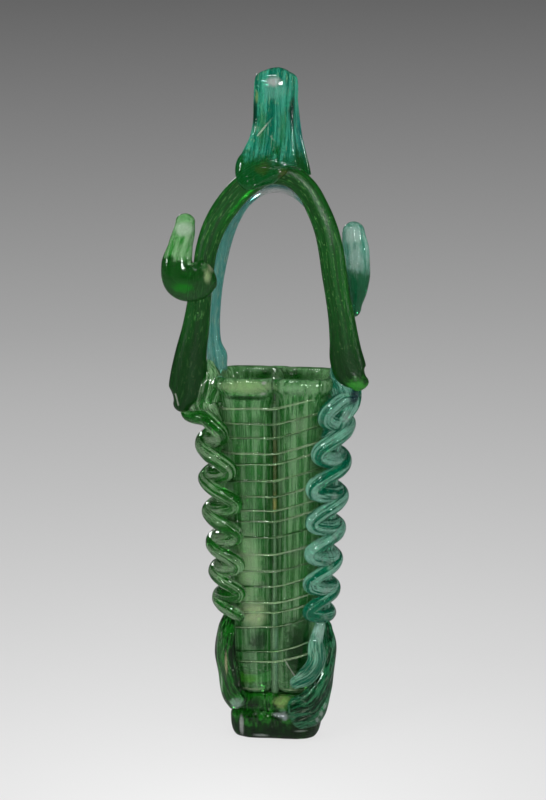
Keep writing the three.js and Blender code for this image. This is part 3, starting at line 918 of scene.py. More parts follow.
class Finish(Enum):
    """The finishes of this object's pieces."""

    BODY = GlassFinish(
        "body_green_glass", tint=(174, 232, 170), streak=(62, 156, 68),
        absorbed=(0.05, 0.6, 0.08), density=115, transmission=0.8, clear_roughness=0.03,
        worn_roughness=0.4, streak_scale=620, streak_along=0.02, streak_softness=0.07, waves=230,
        waves_along=0.08, wave_depth=1, film_amount=0.5, film_share=0.25, fleck_share=0.3,
        layers=(
            Bore((150, 200, 138), 0.4),
            # Painted highlight: a pale band along the front of the left rim
            Spot((-8, -10.5, 119.4), (12, 3.5, 3.2), (206, 248, 176), 0.95, 0.6),
            # Painted shade: a dark band in the crease under the left rim's roll
            Spot((-8.5, -9.5, 115.6), (12, 5, 1.1), (8, 80, 12), 0.95, 0.3),
            # Painted shade: a dark band inside the mouths, behind the rims
            Spot((0.5, 8.5, 120.3), (20, 5, 3.2), (8, 104, 14), 1, 0.4),
            Spot((-6, -7, 107), (5, 4, 4), (60, 140, 60), 0.5),
            # Painted shadow: a dark green patch down the right tube beside the trail
            Spot((14, -8, 95), (3, 5, 26), (30, 110, 34), 0.6),
            Spot((9, -7, 107), (3.5, 5, 6), (190, 225, 180), 0.6, 0.9),
            Spot((-10, -7, 88), (3, 5, 22), (84, 150, 78), 0.5),
            Spot((-8.5, -6, 58), (6, 6, 17), (214, 255, 196)),
            # Painted light: a pale patch low on the left tube, over the pale cake in its bore
            Spot((-6.3, -7, 43), (7.4, 4, 6.2), (230, 255, 200), 1, 0.7),
            Spot((-4.6, -7, 33.5), (4.6, 3, 5), (24, 44, 28), 0.7, 1.4),
            Spot((7, -6, 60), (3.5, 6, 18), (90, 150, 80), 0.5),
            Spot((8, -5, 31), (6, 14, 16), (8, 84, 10)),
            Spot((-8, -4, 20.6), (5, 6, 3.6), (104, 196, 40), 0.8),
            Spot((2.6, -6, 76), (0.5, 5, 30), (16, 70, 20), 0.5, 0.5),
            Spot((4.1, -6, 64), (0.3, 5, 26), (150, 210, 150), 0.6, 0.5),
            Spot((-2.4, -6, 70), (0.5, 5, 40), (20, 80, 24), 0.5, 0.5),
            # Painted highlights: a pale patch on the right rim, and two white glints on the left rim
            Spot((8.5, -9.5, 119.6), (6, 3.5, 3), (190, 242, 186), 0.8),
            Spot((-2.6, -9.5, 120.9), (1.2, 4, 0.8), (255, 255, 250), 1, 0.3),
            Spot((-2.9, -9.5, 117.2), (1.3, 4, 0.8), (255, 255, 250), 1, 0.3),
            Spot((-13, -4, 80), (0.8, 5, 44), (170, 225, 160), 0.6, 0.8),
            Crease((2.3, -6.5, 29.7), (7.3, -7, 22.1), PALE, 0.35, 0.9),
            Crease((7.3, -7, 22.1), (12.2, -5.5, 25.7), PALE, 0.3, 0.8),
            Spot((-8, -6, 17), (6, 4, 0.5), (226, 250, 196), 1, 0.5),
            Spot((6.5, -6, 17.2), (6, 4, 0.45), (206, 246, 186), 0.9, 0.6),
        ),
    )
    WEB = GlassFinish(
        "seam_web_glass", tint=(184, 232, 184), streak=(96, 164, 98), absorbed=(0.2, 0.7, 0.3),
        density=30, transmission=0.82, clear_roughness=0.08, streak_scale=1500, streak_along=0.008,
        streak_softness=0.2, wave_depth=0.3, film_amount=0.5,
        layers=(
            Spot((0, -5.5, 94), (2.2, 5, 18), (140, 132, 54), 0.6, 2.4),
            Spot((0.2, -5.5, 80), (1.2, 5, 4), (236, 230, 140), 0.95, 1.2),
            # Painted highlight: a thin pale line down the seam
            Spot((0.9, -5.5, 30), (0.9, 5, 18), (150, 215, 170), 0.8, 0.5),
        ),
    )
    # Painted light: a pale cake in the left bore that stands for light seen through the glass there
    PALE_RESIDUE = GlassFinish(
        "pale_residue", tint=(255, 255, 224), streak=(236, 255, 196), absorbed=(0.8, 0.9, 0.7),
        density=20, transmission=0.3, clear_roughness=0.5, streak_scale=260, streak_along=1,
        wave_depth=0.2, film_amount=0.4,
    )
    DARK_RESIDUE = GlassFinish(
        "dark_residue", tint=(96, 96, 92), streak=(30, 34, 30), absorbed=(0.4, 0.42, 0.4),
        density=220, transmission=0.75, clear_roughness=0.55, streak_scale=240, streak_along=1,
        wave_depth=0.3, film_amount=0.3,
    )
    GREEN_RESIDUE = GlassFinish(
        "green_residue", tint=(26, 116, 26), streak=(8, 56, 10), absorbed=(0.15, 0.45, 0.15),
        density=240, transmission=0.8, clear_roughness=0.4, streak_scale=240, streak_along=1,
        wave_depth=0.3, film_amount=0.3,
    )
    THREAD = GlassFinish(
        "thread_green_glass", tint=(208, 242, 190), streak=(40, 112, 44),
        absorbed=(0.25, 0.75, 0.35), density=110, transmission=0.75, clear_roughness=0.05,
        streak_softness=0.06, waves=420, wave_depth=0.15, film_amount=0.6,
    )
    LEFT_TRAIL = GlassFinish(
        "trail_green_glass", tint=(204, 252, 196), streak=(36, 150, 40),
        absorbed=(0.06, 0.6, 0.12), density=54, transmission=0.86, clear_roughness=0.02,
        streak_scale=900, streak_along=0.04, streak_softness=0.04, waves=360, wave_depth=0.8,
        film_amount=0.2, fleck_share=0.25,
    )
    RIGHT_TRAIL = GlassFinish(
        "trail_teal_glass", tint=(184, 255, 228), streak=(12, 148, 108),
        absorbed=(0.06, 0.66, 0.46), density=40, transmission=0.81, clear_roughness=0.02,
        streak_scale=900, streak_along=0.04, streak_softness=0.04, waves=360, wave_depth=0.8,
        film_amount=0.3, fleck_share=0.2,
        layers=(
            # Painted highlights on the front of each loop
            *(Spot((x, -10, z), (2.4, 4.5, 3.2), (220, 255, 238), 1, 0.8) for x, z in LIT_LOOPS),
            Spot((26.6, -8, 116.5), (2.4, 6, 4), (24, 56, 78), 0.9, 0.8),
        ),
    )
    FRONT_HANDLE = GlassFinish(
        "deep_green_glass", tint=(16, 136, 32), streak=(4, 92, 14), absorbed=(0.05, 0.6, 0.12),
        density=230, transmission=0.78, clear_roughness=0.3, shine=0.07, pitting=0.28,
        specks=(104, 208, 92), streak_scale=900, streak_along=0.02, streak_softness=0.08,
        waves=190, waves_along=0.1, wave_depth=0.4, film_amount=0.1, film_share=0.04, speck_share=1,
        fleck_share=1,
        layers=(
            Band(150, 126, (3, 80, 10), 0.8),
            # Painted light: a bright green glow in the tip of the right foot
            Spot((27.4, -8, 120.6), (5, 5, 3.6), (84, 226, 70), 0.9, 1.6),
            # Painted highlight on the tip of the left foot
            Spot((-29, -8, 109.5), (2.6, 5, 1.6), (150, 240, 120), 0.7, 0.8),
            Crease((20.5, -9.5, 164), (25.4, -9, 140), GREEN_WHITE, 0.25, 0.2),
            # Painted highlight: a pale line down the left foot
            Crease((-31.9, -9, 116.4), (-30.8, -9.5, 112.9), PALE, 0.45, 1),
        ),
    )
    BACK_HANDLE = GlassFinish(
        "blue_teal_glass", tint=(160, 232, 218), streak=(60, 168, 158),
        absorbed=(0.06, 0.6, 0.46), density=55, transmission=0.75, streak_scale=700,
        streak_along=0.03, waves=190, waves_along=0.1, wave_depth=0.4, film_amount=0.4,
        fleck_share=0.8,
        # Painted reflection: a white crescent on the underside of the crown
        layers=(Spot((0, 3, 181.3), (10, 7, 3), PURE_WHITE, 1, 0.5),),
    )
    FINIAL = GlassFinish(
        "finial_teal_glass", tint=(100, 232, 198), streak=(20, 146, 116),
        absorbed=(0.03, 0.78, 0.66), density=180, transmission=0.76, streak_scale=620,
        streak_along=0.05, streak_softness=0.07, waves=200, waves_along=0.1, wave_depth=0.6,
        film_amount=0.5, film_share=0.15, speck_share=0.9, specks=(190, 240, 190), fleck_share=0.8,
        layers=(
            Band(198, 191.5, (22, 118, 36), 0.94),
            Spot((-3.5, -7, 190), (3, 4, 3), (96, 130, 50), 0.5, 1.8),
            Spot((4, -7, 188.5), (3, 4, 2.4), (130, 120, 56), 0.5, 1.8),
            # Painted highlight: a white spot with a pale halo on the front of the fold
            Spot((0.2, -4.5, 215.4), (5, 4, 4.4), (150, 244, 218), 0.6, 0.9),
            Spot((-0.2, -4.5, 217.8), (3, 4, 2.2), (248, 255, 253)),
            # Painted shade: dark strips along both edges of the front leaf
            Spot((-6.4, -4, 207.5), (1.5, 5, 7), (4, 56, 30), 0.85, 0.9),
            Spot((6, -4.5, 208), (1.9, 4, 7.4), (4, 52, 36), 0.9, 0.9),
            Spot((-3.6, -5, 203.5), (2, 5, 9), (56, 150, 78), 0.6, 1.3),
            Spot((3, -5, 203), (1.6, 5, 9), (60, 156, 84), 0.6, 1.3),
            Spot((-5.6, -5, 213), (0.8, 4, 2.4), (180, 215, 130), 0.8),
            Spot((8.5, 3, 203), (3, 5, 12), (60, 150, 160), 0.6, 0.8),
            Crease((-0.3, -5.5, 206.4), (-5.3, -5.5, 200.7), PALE, 0.45, 1),
            Crease((-0.9, -6, 200.5), (0.2, -6, 199.4), PALE, 0.4, 1),
            Crease((0.2, -6, 199.4), (0.2, -6.2, 196.6), GREEN_WHITE, 0.25, 0.8),
            Crease((3.6, -5, 208), (2.9, -5.2, 205), GREEN_WHITE, 0.25, 0.8),
        ),
    )
    LEFT_LUG = GlassFinish(
        "left_lug_green_glass", tint=(200, 255, 194), streak=(60, 178, 62),
        absorbed=(0.08, 0.7, 0.14), density=95, transmission=0.76, clear_roughness=0.03,
        streak_scale=620, streak_along=0.12, wave_depth=0.6, fleck_share=0.7,
        layers=(
            Band(162, 159, (10, 98, 20), 0.95),
            Spot((-28.5, -11, 152), (5, 5, 2.6), (26, 168, 30), 0.9, 1.4),
            Spot((-20.6, -11, 155.8), (1.6, 5, 3), (206, 240, 170)),
            # Painted highlight on the top of the lug
            Spot((-28.6, -9.5, 170.6), (5, 4, 3), (228, 255, 226), 1, 0.8),
            Spot((-19.5, -10.5, 159), (1.6, 4, 3), (215, 225, 180), 0.8, 0.8),
            Crease((-31.5, -10, 163), (-24, -10, 160.6), PALE, 0.3, 0.8),
            Crease((-27, -10.5, 157.5), (-22, -10.5, 158.4), PALE, 0.25, 0.7),
        ),
    )
    RIGHT_LUG = GlassFinish(
        "right_lug_teal_glass", tint=(206, 250, 236), streak=(56, 172, 142),
        absorbed=(0.14, 0.76, 0.6), density=75, transmission=0.76, clear_roughness=0.03,
        streak_scale=620, streak_along=0.12, wave_depth=0.6, fleck_share=0.7,
        layers=(
            Band(161, 154, (12, 124, 72), 0.94),
            Spot((24.6, 3, 168), (3.6, 4, 3.6), (226, 255, 244)),
            Spot((25.6, 3, 160), (3, 4, 6), (226, 250, 240), 0.6, 1.6),
        ),
    )
    LOWER = GlassFinish(
        "foot_green_glass", tint=(44, 170, 48), streak=(2, 50, 4), absorbed=(0.05, 0.56, 0.12),
        density=130, transmission=0.84, clear_roughness=0.02, streak_scale=640, streak_along=0.03,
        streak_softness=0.04, fleck_share=0.5, waves=260, wave_depth=0.9, film_amount=0.3,
        film_share=0.15,
        layers=(
            # Painted shade: dark along the strand's left edge and in the hollow between its parts
            Spot((-19.6, -6, 30), (1.3, 9, 15), (2, 44, 8), 1, 0.4),
            Spot((-13, -9, 30.5), (1, 9, 7), (2, 40, 6), 0.9),
            Spot((-15.2, -9, 26.6), (0.7, 9, 5.6), (255, 242, 196), 1, 0.3),
            # Painted highlights: a pale line down the strand's left side, and a lit blob where it meets
            # the pad
            Spot((-17.3, -9, 18.6), (0.5, 9, 5.4), (236, 255, 232), 1, 0.3),
            Spot((-11.6, -10, 12.6), (3.2, 5, 3.2), (214, 255, 230), 1, 1.2),
        ),
    )
    LOWER_RIGHT = GlassFinish(
        "lower_right_teal_glass", tint=(74, 190, 128), streak=(2, 70, 36),
        absorbed=(0.03, 0.52, 0.32), density=120, transmission=0.85, clear_roughness=0.03,
        streak_scale=560, streak_along=0.08, waves=260, wave_depth=1, film_share=0.2,
        streak_softness=0.05, fleck_share=0.7,
        layers=(
            # Painted highlight: a white streak down the lobe
            Spot((17.3, -10, 11.9), (0.8, 9, 1.7), (240, 255, 248), 1, 0.3),
            Spot((16.2, -10, 9.7), (0.9, 9, 1.7), (240, 255, 248), 1, 0.3),
            Spot((15, -10, 7.8), (0.8, 9, 1.4), (240, 255, 248), 0.9, 0.3),
            # Painted shade along the strand's right edge, and a painted highlight just inside it
            Spot((21.4, -6, 26), (1.2, 9, 14), (4, 50, 28), 0.9, 0.5),
            Spot((20, -6, 33.6), (1, 5, 4), (150, 230, 190), 0.9, 0.6),
        ),
    )
    SWIRL = GlassFinish(
        "swirl_teal_glass", tint=(188, 255, 222), streak=(22, 144, 108),
        absorbed=(0.08, 0.72, 0.54), density=90, transmission=0.79, streak_scale=560,
        streak_along=0.05, waves=260, wave_depth=0.9, streak_softness=0.07, fleck_share=0.6,
        film_share=0.2,
        # Painted highlight on the top of the swirl
        layers=(Spot((15.6, -8, 38), (3.6, 6, 4.2), (214, 255, 240), 0.9, 1.4),),
    )
    PAD = GlassFinish(
        "pad_green_glass", tint=(50, 182, 46), streak=(2, 60, 4), absorbed=(0.04, 0.5, 0.1),
        density=110, transmission=0.82, clear_roughness=0.02, streak_scale=420, streak_along=0.3,
        streak_softness=0.06, waves=240, wave_depth=1, film_amount=0.3, film_share=0.15,
        layers=(
            Band(7.5, 4.5, (5, 58, 8), 0.9),
            Spot((-5.7, -8, 12.4), (2.8, 6, 4), (10, 60, 12), 0.9, 0.4),
            Spot((3.1, -8, 13), (3.6, 6, 3.4), (214, 255, 150), 1, 1.6),
            # Painted highlights on the front bulge and the left front corner, and painted reflections of
            # the floor along the bottom edge
            Spot((3, -9, 8.8), (3.4, 5, 2.2), (236, 246, 254), 1, 1.8),
            Spot((-10.6, -8, 4.4), (1.1, 6, 5), (250, 255, 250), 1, 0.4),
            Spot((-4.1, -8.5, 1.4), (3.6, 5, 0.8), (235, 246, 238), 0.9, 0.5),
            Spot((9.8, -9, 3.4), (3.4, 4, 0.6), (225, 240, 228), 0.8, 0.5),
        ),
    )
    SEED = GlassFinish(
        "seeds_in_glass", tint=(190, 236, 180), streak=(140, 205, 135),
        absorbed=(0.6, 0.9, 0.65), density=20, transmission=0.6, clear_roughness=0.1, wave_depth=0.05,
        film_amount=0.2, follows_piece=False,
    )


class Finishes:
    """Builds each finish once and hands it out."""

    def __init__(self) -> None:
        """Builds the shared groups."""
        self.groups = Groups()
        self.made: dict[Finish, bpy.types.Material] = {}

    def material(self, finish: Finish) -> bpy.types.Material:
        """The material of a finish."""
        if finish not in self.made:
            self.made[finish] = finish.value.build(self.groups)
        return self.made[finish]


# Geometry node trees


class GeometryTree:
    """A geometry node tree with named inputs, run once on an object."""

    def __init__(self, name: str, inputs: Sequence[Slot]) -> None:
        """Makes the tree and its sockets.

        Args:
            name: Name of the tree.
            inputs: Its named inputs after the geometry.
        """
        self.tree = bpy.data.node_groups.new(name, "GeometryNodeTree")
        geometry = Slot("Geometry", "Geometry")
        geometry.open(self.tree, "INPUT")
        geometry.open(self.tree, "OUTPUT")
        for slot in inputs:
            slot.open(self.tree, "INPUT")
        self.wiring = Wiring(self.tree)
        entry = self.wiring.add("NodeGroupInput")
        self.given = {slot.name: entry.outputs[slot.name] for slot in (geometry, *inputs)}

    def step(self, kind: str, inputs: Inputs | None = None, **settings: object) -> Socket:
        """First output of a new node."""
        return self.wiring.add(kind, inputs, **settings).outputs[0]

    def store(self, geometry: Socket, name: str, kind: str, value: Socket) -> Socket:
        """Geometry that keeps a value on its points."""
        inputs = {"Geometry": geometry, "Name": name, "Value": value}
        return self.step("GeometryNodeStoreNamedAttribute", inputs, data_type=kind, domain="POINT")

    def stored(self, name: str, kind: str) -> Socket:
        """Value that store kept on the points."""
        return self.step("GeometryNodeInputNamedAttribute", {"Name": name}, data_type=kind)

    def random(self, low: Socket | float, high: Socket | float) -> Socket:
        """Random number from the tree's seed."""
        inputs = {"Min": low, "Max": high, "Seed": self.given["Seed"]}
        return self.wiring.add("FunctionNodeRandomValue", inputs, data_type="FLOAT").outputs["Value"]

    def end(self, geometry: Socket, material: Socket) -> None:
        """Realises the result, gives it its material and joins it to the output."""
        real = self.step("GeometryNodeRealizeInstances", {0: geometry})
        dressed = self.step("GeometryNodeSetMaterial", {"Geometry": real, "Material": material})
        self.wiring.add("NodeGroupOutput", {0: dressed})

    def run(self, name: str, source: Piece, values: dict[str, object]) -> Piece:
        """Runs the tree on an object and keeps the result as a plain mesh.

        Args:
            name: Name of the new piece.
            source: The object it starts from, which is removed.
            values: Values of its inputs by name.

        Returns:
            The new piece.
        """
        modifier = source.modifiers.new(self.tree.name, "NODES")
        modifier.node_group = self.tree
        for socket in self.tree.interface.items_tree:
            if socket.in_out == "INPUT" and socket.name in values:
                modifier[socket.identifier] = values[socket.name]
        graph = bpy.context.evaluated_depsgraph_get()
        mesh = bpy.data.meshes.new_from_object(source.evaluated_get(graph), depsgraph=graph)
        mesh.name = name
        bpy.data.objects.remove(source)
        face_outwards(mesh)
        return shown(name, mesh)


class WoundStrandTree(GeometryTree):
    """Sweeps an uneven round strand along a wound path."""

    drawn_radius = 0.0015

    def __init__(self) -> None:
        """Builds the tree."""
        super().__init__("Wound strand", [
            Slot("Sides", "Int"), Slot("Unevenness"), Slot("Lump length"),
            Slot("Seed"), Slot("Glass", "Material"),
        ])
        w = self.wiring
        length = w.add("GeometryNodeSplineParameter").outputs["Length"]
        along = w.math("DIVIDE", length, self.given["Lump length"])
        place = self.step("ShaderNodeCombineXYZ", {0: along, 1: self.given["Seed"]})
        lumps = w.math("MULTIPLY_ADD", w.noise(place, 1.0, detail=2, rough=0.5), 2.0, -1.0)
        swell = w.math("MULTIPLY_ADD", lumps, self.given["Unevenness"], 1.0)
        radius = w.math("MULTIPLY", self.step("GeometryNodeInputRadius"), swell)
        path = self.given["Geometry"]
        sized = self.step("GeometryNodeSetCurveRadius", {"Curve": path, "Radius": radius})
        marked = self.store(sized, "run", "FLOAT", length)
        sides = self.given["Sides"]
        ring = self.step("GeometryNodeCurvePrimitiveCircle", {"Resolution": sides, "Radius": 1.0})
        rung = self.store(ring, "round", "FLOAT_VECTOR", self.step("GeometryNodeInputPosition"))
        swept = self.step("GeometryNodeCurveToMesh", {
            "Curve": marked, "Profile Curve": rung, "Fill Caps": True,
            "Scale": self.step("GeometryNodeInputRadius"),
        })
        run, turn = self.stored("run", "FLOAT"), self.stored("round", "FLOAT_VECTOR")
        turned = self.step("ShaderNodeVectorMath", {0: turn, 3: self.drawn_radius}, operation="SCALE")
        straight = w.vector("ADD", turned, self.step("ShaderNodeCombineXYZ", {2: run}))
        self.end(self.store(swept, DRAWN, "FLOAT_VECTOR", straight), self.given["Glass"])


class SeedTree(GeometryTree):
    """Scatters small drawn-out bubbles under a piece's surface."""

    shallowest = 0.35

    def __init__(self) -> None:
        """Builds the tree."""
        super().__init__("Seeds in the glass", [
            Slot("Per square metre"), Slot("Smallest"), Slot("Largest"), Slot("Stretch"),
            Slot("Depth"), Slot("Seed", "Int"), Slot("Glass", "Material"),
        ])
        w = self.wiring
        scatter = w.add("GeometryNodeDistributePointsOnFaces", {
            "Mesh": self.given["Geometry"], "Density": self.given["Per square metre"],
            "Seed": self.given["Seed"],
        }).outputs
        sunk = w.math("MULTIPLY", self.random(self.shallowest, 1.0), self.given["Depth"])
        inward = self.step("ShaderNodeVectorMath", {
            0: scatter["Normal"], 3: w.math("MULTIPLY", sunk, -1.0),
        }, operation="SCALE")
        placed = self.step("GeometryNodeSetPosition", {"Geometry": scatter["Points"], "Offset": inward})
        size = self.random(self.given["Smallest"], self.given["Largest"])
        tall = w.math("MULTIPLY", size, self.given["Stretch"])
        ball = w.add("GeometryNodeMeshIcoSphere", {"Radius": 1.0, "Subdivisions": 2}).outputs["Mesh"]
        copies = self.step("GeometryNodeInstanceOnPoints", {
            "Points": placed, "Instance": ball,
            "Scale": self.step("ShaderNodeCombineXYZ", {0: size, 1: size, 2: tall}),
        })
        self.end(copies, self.given["Glass"])


# Sub-assemblies


def rounded_ends(radii: Array, steps: int, bluntest: float = 0.02) -> Array:
    """Radii along a strand that round off over a few steps at both ends.

    Args:
        radii: The full radii.
        steps: Steps at each end over which they grow to the full.
        bluntest: Share of the way at which the very end is cut.

    Returns:
        The rounded radii.
    """
    index = np.arange(len(radii))
    ends = np.minimum(index, index[::-1]) / steps
    return radii * np.sqrt(np.clip(ends, bluntest, 1))


@dataclass
class Workshop:
    """What every sub-assembly needs to make and dress its pieces."""

    finishes: Finishes
    strand_tree: WoundStrandTree
    seed_tree: SeedTree

    def keep(self, piece: Piece, finish: Finish, node: str | None = None) -> None:
        """Dresses a piece, lets it ride, hides the CAD node that it replaces and logs it.

        Args:
            piece: The piece.
            finish: Its finish.
            node: The CAD node that it replaces, if any.
        """
        piece.data.materials.clear()
        piece.data.materials.append(self.finishes.material(finish))
        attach(piece, BODY)
        if node:
            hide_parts(node)
        LOG.info("%s: %d faces, %s", piece.name, len(piece.data.polygons), finish.value.name)

    def wound(self, name: str, points: Array, radii: Array, values: dict[str, object]) -> Piece:
        """A round strand swept along a path.

        Args:
            name: Name of the piece.
            points: The path in millimetres.
            radii: Its radius at each point.
            values: Inputs of the strand tree.

        Returns:
            The new piece.
        """
        curve = bpy.data.curves.new(name + "_path", "CURVE")
        curve.dimensions = "3D"
        spline = curve.splines.new("POLY")
        spline.points.add(len(points) - 1)
        rows = np.hstack([points * MM, np.ones((len(points), 1))])
        spline.points.foreach_set("co", rows.astype(np.float32).ravel())
        spline.points.foreach_set("radius", (radii * MM).astype(np.float32))
        return self.strand_tree.run(name, shown(name + "_path", curve), values)

    def seeds(self, name: str, source: Piece, values: dict[str, object]) -> None:
        """Adds seeds under the surface of a finished piece.

        Args:
            name: Name of the new piece.
            source: The piece that holds them.
            values: Inputs of the seed tree.
        """
        copy = shown(name + "_from", source.data.copy())
        values = {**values, "Glass": self.finishes.material(Finish.SEED)}
        self.keep(self.seed_tree.run(name, copy, values), Finish.SEED)


@dataclass
class TubePair:
    """The two leaning tubes with their rolled rims and tapered bores."""

    segments: int = 112
    base_round: float = 2.4
    bore_low: float = 4.4
    bore_top: float = 6.9
    base: float = 5.6
    bore_round: float = 4.0
    rim_flare: float = 0.5
    rim_lean: float = 0.07
    rim_squareness: float = 0.46
    squared_from: float = 8.0
    pressed: float = 0.35
    seam_gap: float = 0.01
    drawn_apart: float = 40.0
    base_arc: Arc = (-90, 0, 9)
    roll_arc: Arc = (-52, 90, 24)
    mouth_arc: Arc = (98, 180, 12)
    floor_arc: Arc = (-8, -84, 10)
    wall_rings: int = 130
    bore_rings: int = 90
    waves: Waves = (Unevenness(0.22, 16, 1.6, 3.1), Unevenness(0.06, 3.5, 2, 7.7))

    def arc(self, centre: Pair, radii: Pair, span: Arc) -> list[Pair]:
        """Points of an elliptical arc of the profile."""
        angles = np.radians(np.linspace(*span))
        return [(centre[0] + radii[0] * math.cos(a), centre[1] + radii[1] * math.sin(a)) for a in angles]

    def profile(self) -> tuple[Array, Array]:
        """The lathe's profile.

        Returns:
            Radius and height of each ring, and for each 1 on the inside and 0 on the outside.
        """
        base_top = PAIR.bottom + self.base_round
        edge = float(PAIR.wall_radius(base_top)) - self.base_round
        rim_radius = PAIR.top_radius + PAIR.rim_overhang
        mouth = self.bore_top + self.rim_flare
        roll_base = PAIR.shoulder + PAIR.rim_neck
        centre = ((rim_radius + mouth) / 2, (roll_base + PAIR.rim_top) / 2)
        radii = ((rim_radius - mouth) / 2, (PAIR.rim_top - roll_base) / 2)
        heights = np.linspace(base_top + 1, PAIR.shoulder, self.wall_rings)
        outside = [(r, PAIR.bottom) for r in np.linspace(0.6, edge - 0.4, 6)]
        outside += self.arc((edge, base_top), (self.base_round, self.base_round), self.base_arc)
        outside += [(float(PAIR.wall_radius(z)), z) for z in heights]
        outside += self.arc(centre, radii, self.roll_arc)
        inside = self.arc(centre, radii, self.mouth_arc)
        bore_end = PAIR.bottom + self.base + self.bore_round
        bore_top_height = PAIR.shoulder - PAIR.rim_neck
        for z in np.linspace(bore_top_height, bore_end, self.bore_rings):
            share = (z - bore_end) / (bore_top_height - bore_end)
            inside.append((lerp(self.bore_low, self.bore_top, share), z))
        inside += self.arc((0, bore_end), (self.bore_low, self.bore_round), self.floor_arc)
        marks = [0.0] * len(outside) + [1.0] * len(inside)
        return np.array(outside + inside), np.array(marks)

    def tube(self, name: str, side: int) -> Piece:
        """One tube.

        Args:
            name: Name of the piece.
            side: -1 for the left one, 1 for the right one.

        Returns:
            The new piece.
        """
        profile, marks = self.profile()
        angles = np.linspace(0, 2 * math.pi, self.segments, endpoint=False)
        radius, height = profile[:, :1], np.repeat(profile[:, 1:], self.segments, 1)
        to_rim = smoothstep(height, PAIR.shoulder - self.squared_from, PAIR.rim_top)
        squared = lerp(1, self.rim_squareness, to_rim)
        x = radius * np.sign(np.cos(angles)) * np.abs(np.cos(angles)) ** squared
        y = radius * np.sign(np.sin(angles)) * np.abs(np.sin(angles)) ** squared
        at_rim = smoothstep(height, PAIR.shoulder, PAIR.rim_top)
        outward = np.maximum(side * x + PAIR.axis_offset(height) - self.pressed, PAIR.clearance / 2)
        rings = np.stack([side * outward, y, height + self.rim_lean * y * at_rim], axis=-1)
        drawn = np.stack([x + self.drawn_apart * side, y, height], axis=-1)
        floor = PAIR.bottom + self.base
        poles = np.array([
            [side * PAIR.axis_offset(PAIR.bottom), 0, PAIR.bottom],
            [side * PAIR.axis_offset(floor), 0, floor],
        ])
        piece = ring_solid(name, rings, drawn, poles)
        inside = piece.data.attributes.new(INSIDE, "FLOAT", "POINT")
        on_points = np.concatenate([np.repeat(marks, self.segments), [0.0, 1.0]])
        inside.data.foreach_set("value", on_points.astype(np.float32))
        work_surface(piece, self.waves)
        self.part_at_seam(piece, side)
        return piece

    def part_at_seam(self, piece: Piece, side: int) -> None:
        """Keeps a worked tube on its own side of the seam."""
        for vertex in piece.data.vertices:
            vertex.co.x = side * max(side * vertex.co.x, self.seam_gap * MM)

    def build(self, shop: Workshop) -> None:
        """Makes and dresses both tubes."""
        for name, side in (("left_tube", -1), ("right_tube", 1)):
            shop.keep(self.tube("fine_" + name, side), Finish.BODY, name)


@dataclass
class SeamWeb:
    """The web of glass in the valley in front of the seam."""

    across: float = 0.3
    low: float = 16.2
    high: float = 113.0
    low_depth: float = 4.0
    high_depth: float = 4.7
    low_width: float = 2.6
    high_width: float = 1.5
    thickness: float = 2.2
    narrows: Pair = (0.2, 0.5)
    steps: int = 240
    sides: int = 28
    tip: float = 1.6
    waves: Waves = (Unevenness(0.14, 6, 4, 5.2), Unevenness(0.05, 1.6, 6, 2.8))

    def build(self, shop: Workshop) -> None:
        """Makes and dresses the web.

        Args:
            shop: The workshop.
        """
        share = np.linspace(0, 1, self.steps)
        height = lerp(self.low, self.high, share)
        depth = lerp(self.low_depth, self.high_depth, share)
        points = np.stack([np.full(self.steps, self.across), -depth, height], -1)
        width = lerp(self.low_width, self.high_width, smoothstep(share, *self.narrows))
        sizes = np.stack([width, np.full(self.steps, self.thickness)], -1)
        ways = front_to_back(self.steps)
        piece = strand_solid("fine_seam_web", (points, sizes), ways, self.sides, self.tip)
        work_surface(piece, self.waves)
        shop.keep(piece, Finish.WEB)


@dataclass
class ResidueAndPaintedLight:
    """A cake in one bore, between two heights: old kohl and weathered glass where it is dark, painted
    light where it is pale.
    """

    name: str
    side: int
    finish: Finish
    low: float
    high: float
    share: float
    steps: int = 26
    sides: int = 40
    tip: float = 0.8
    waves: Waves = (Unevenness(0.5, 2.6, 1, 3.7), Unevenness(0.2, 0.9, 1, 6.1))

    def build(self, shop: Workshop, pair: TubePair) -> None:
        """Makes and dresses the cake.

        Args:
            shop: The workshop.
            pair: The tubes that hold it.
        """
        height = np.linspace(self.low, self.high, self.steps)
        bore_end = PAIR.bottom + pair.base + pair.bore_round
        along = np.clip((height - bore_end) / (PAIR.shoulder - PAIR.rim_neck - bore_end), 0, 1)
        across = 2 * self.share * lerp(pair.bore_low, pair.bore_top, along)
        x = self.side * (PAIR.axis_offset(height) - pair.pressed)
        points = np.stack([x, np.zeros(self.steps), height], -1)
        sizes = np.stack([across, across], -1)
        piece = strand_solid(self.name, (points, sizes), front_to_back(self.steps), self.sides, self.tip)
        work_surface(piece, self.waves)
        shop.keep(piece, self.finish)


def residues_and_painted_light() -> list[ResidueAndPaintedLight]:
    """What is caked in the bores: old kohl, and a pale cake of painted light low in the left one."""
    return [
        # Painted light: a pale cake low in the left bore
        ResidueAndPaintedLight("left_pale_residue", -1, Finish.PALE_RESIDUE, 38.6, 44.4, 0.94),
        ResidueAndPaintedLight("left_dark_residue", -1, Finish.DARK_RESIDUE, 22.0, 37.6, 0.78),
        ResidueAndPaintedLight("right_dark_residue", 1, Finish.GREEN_RESIDUE, 19.0, 46.0, 0.9),
    ]


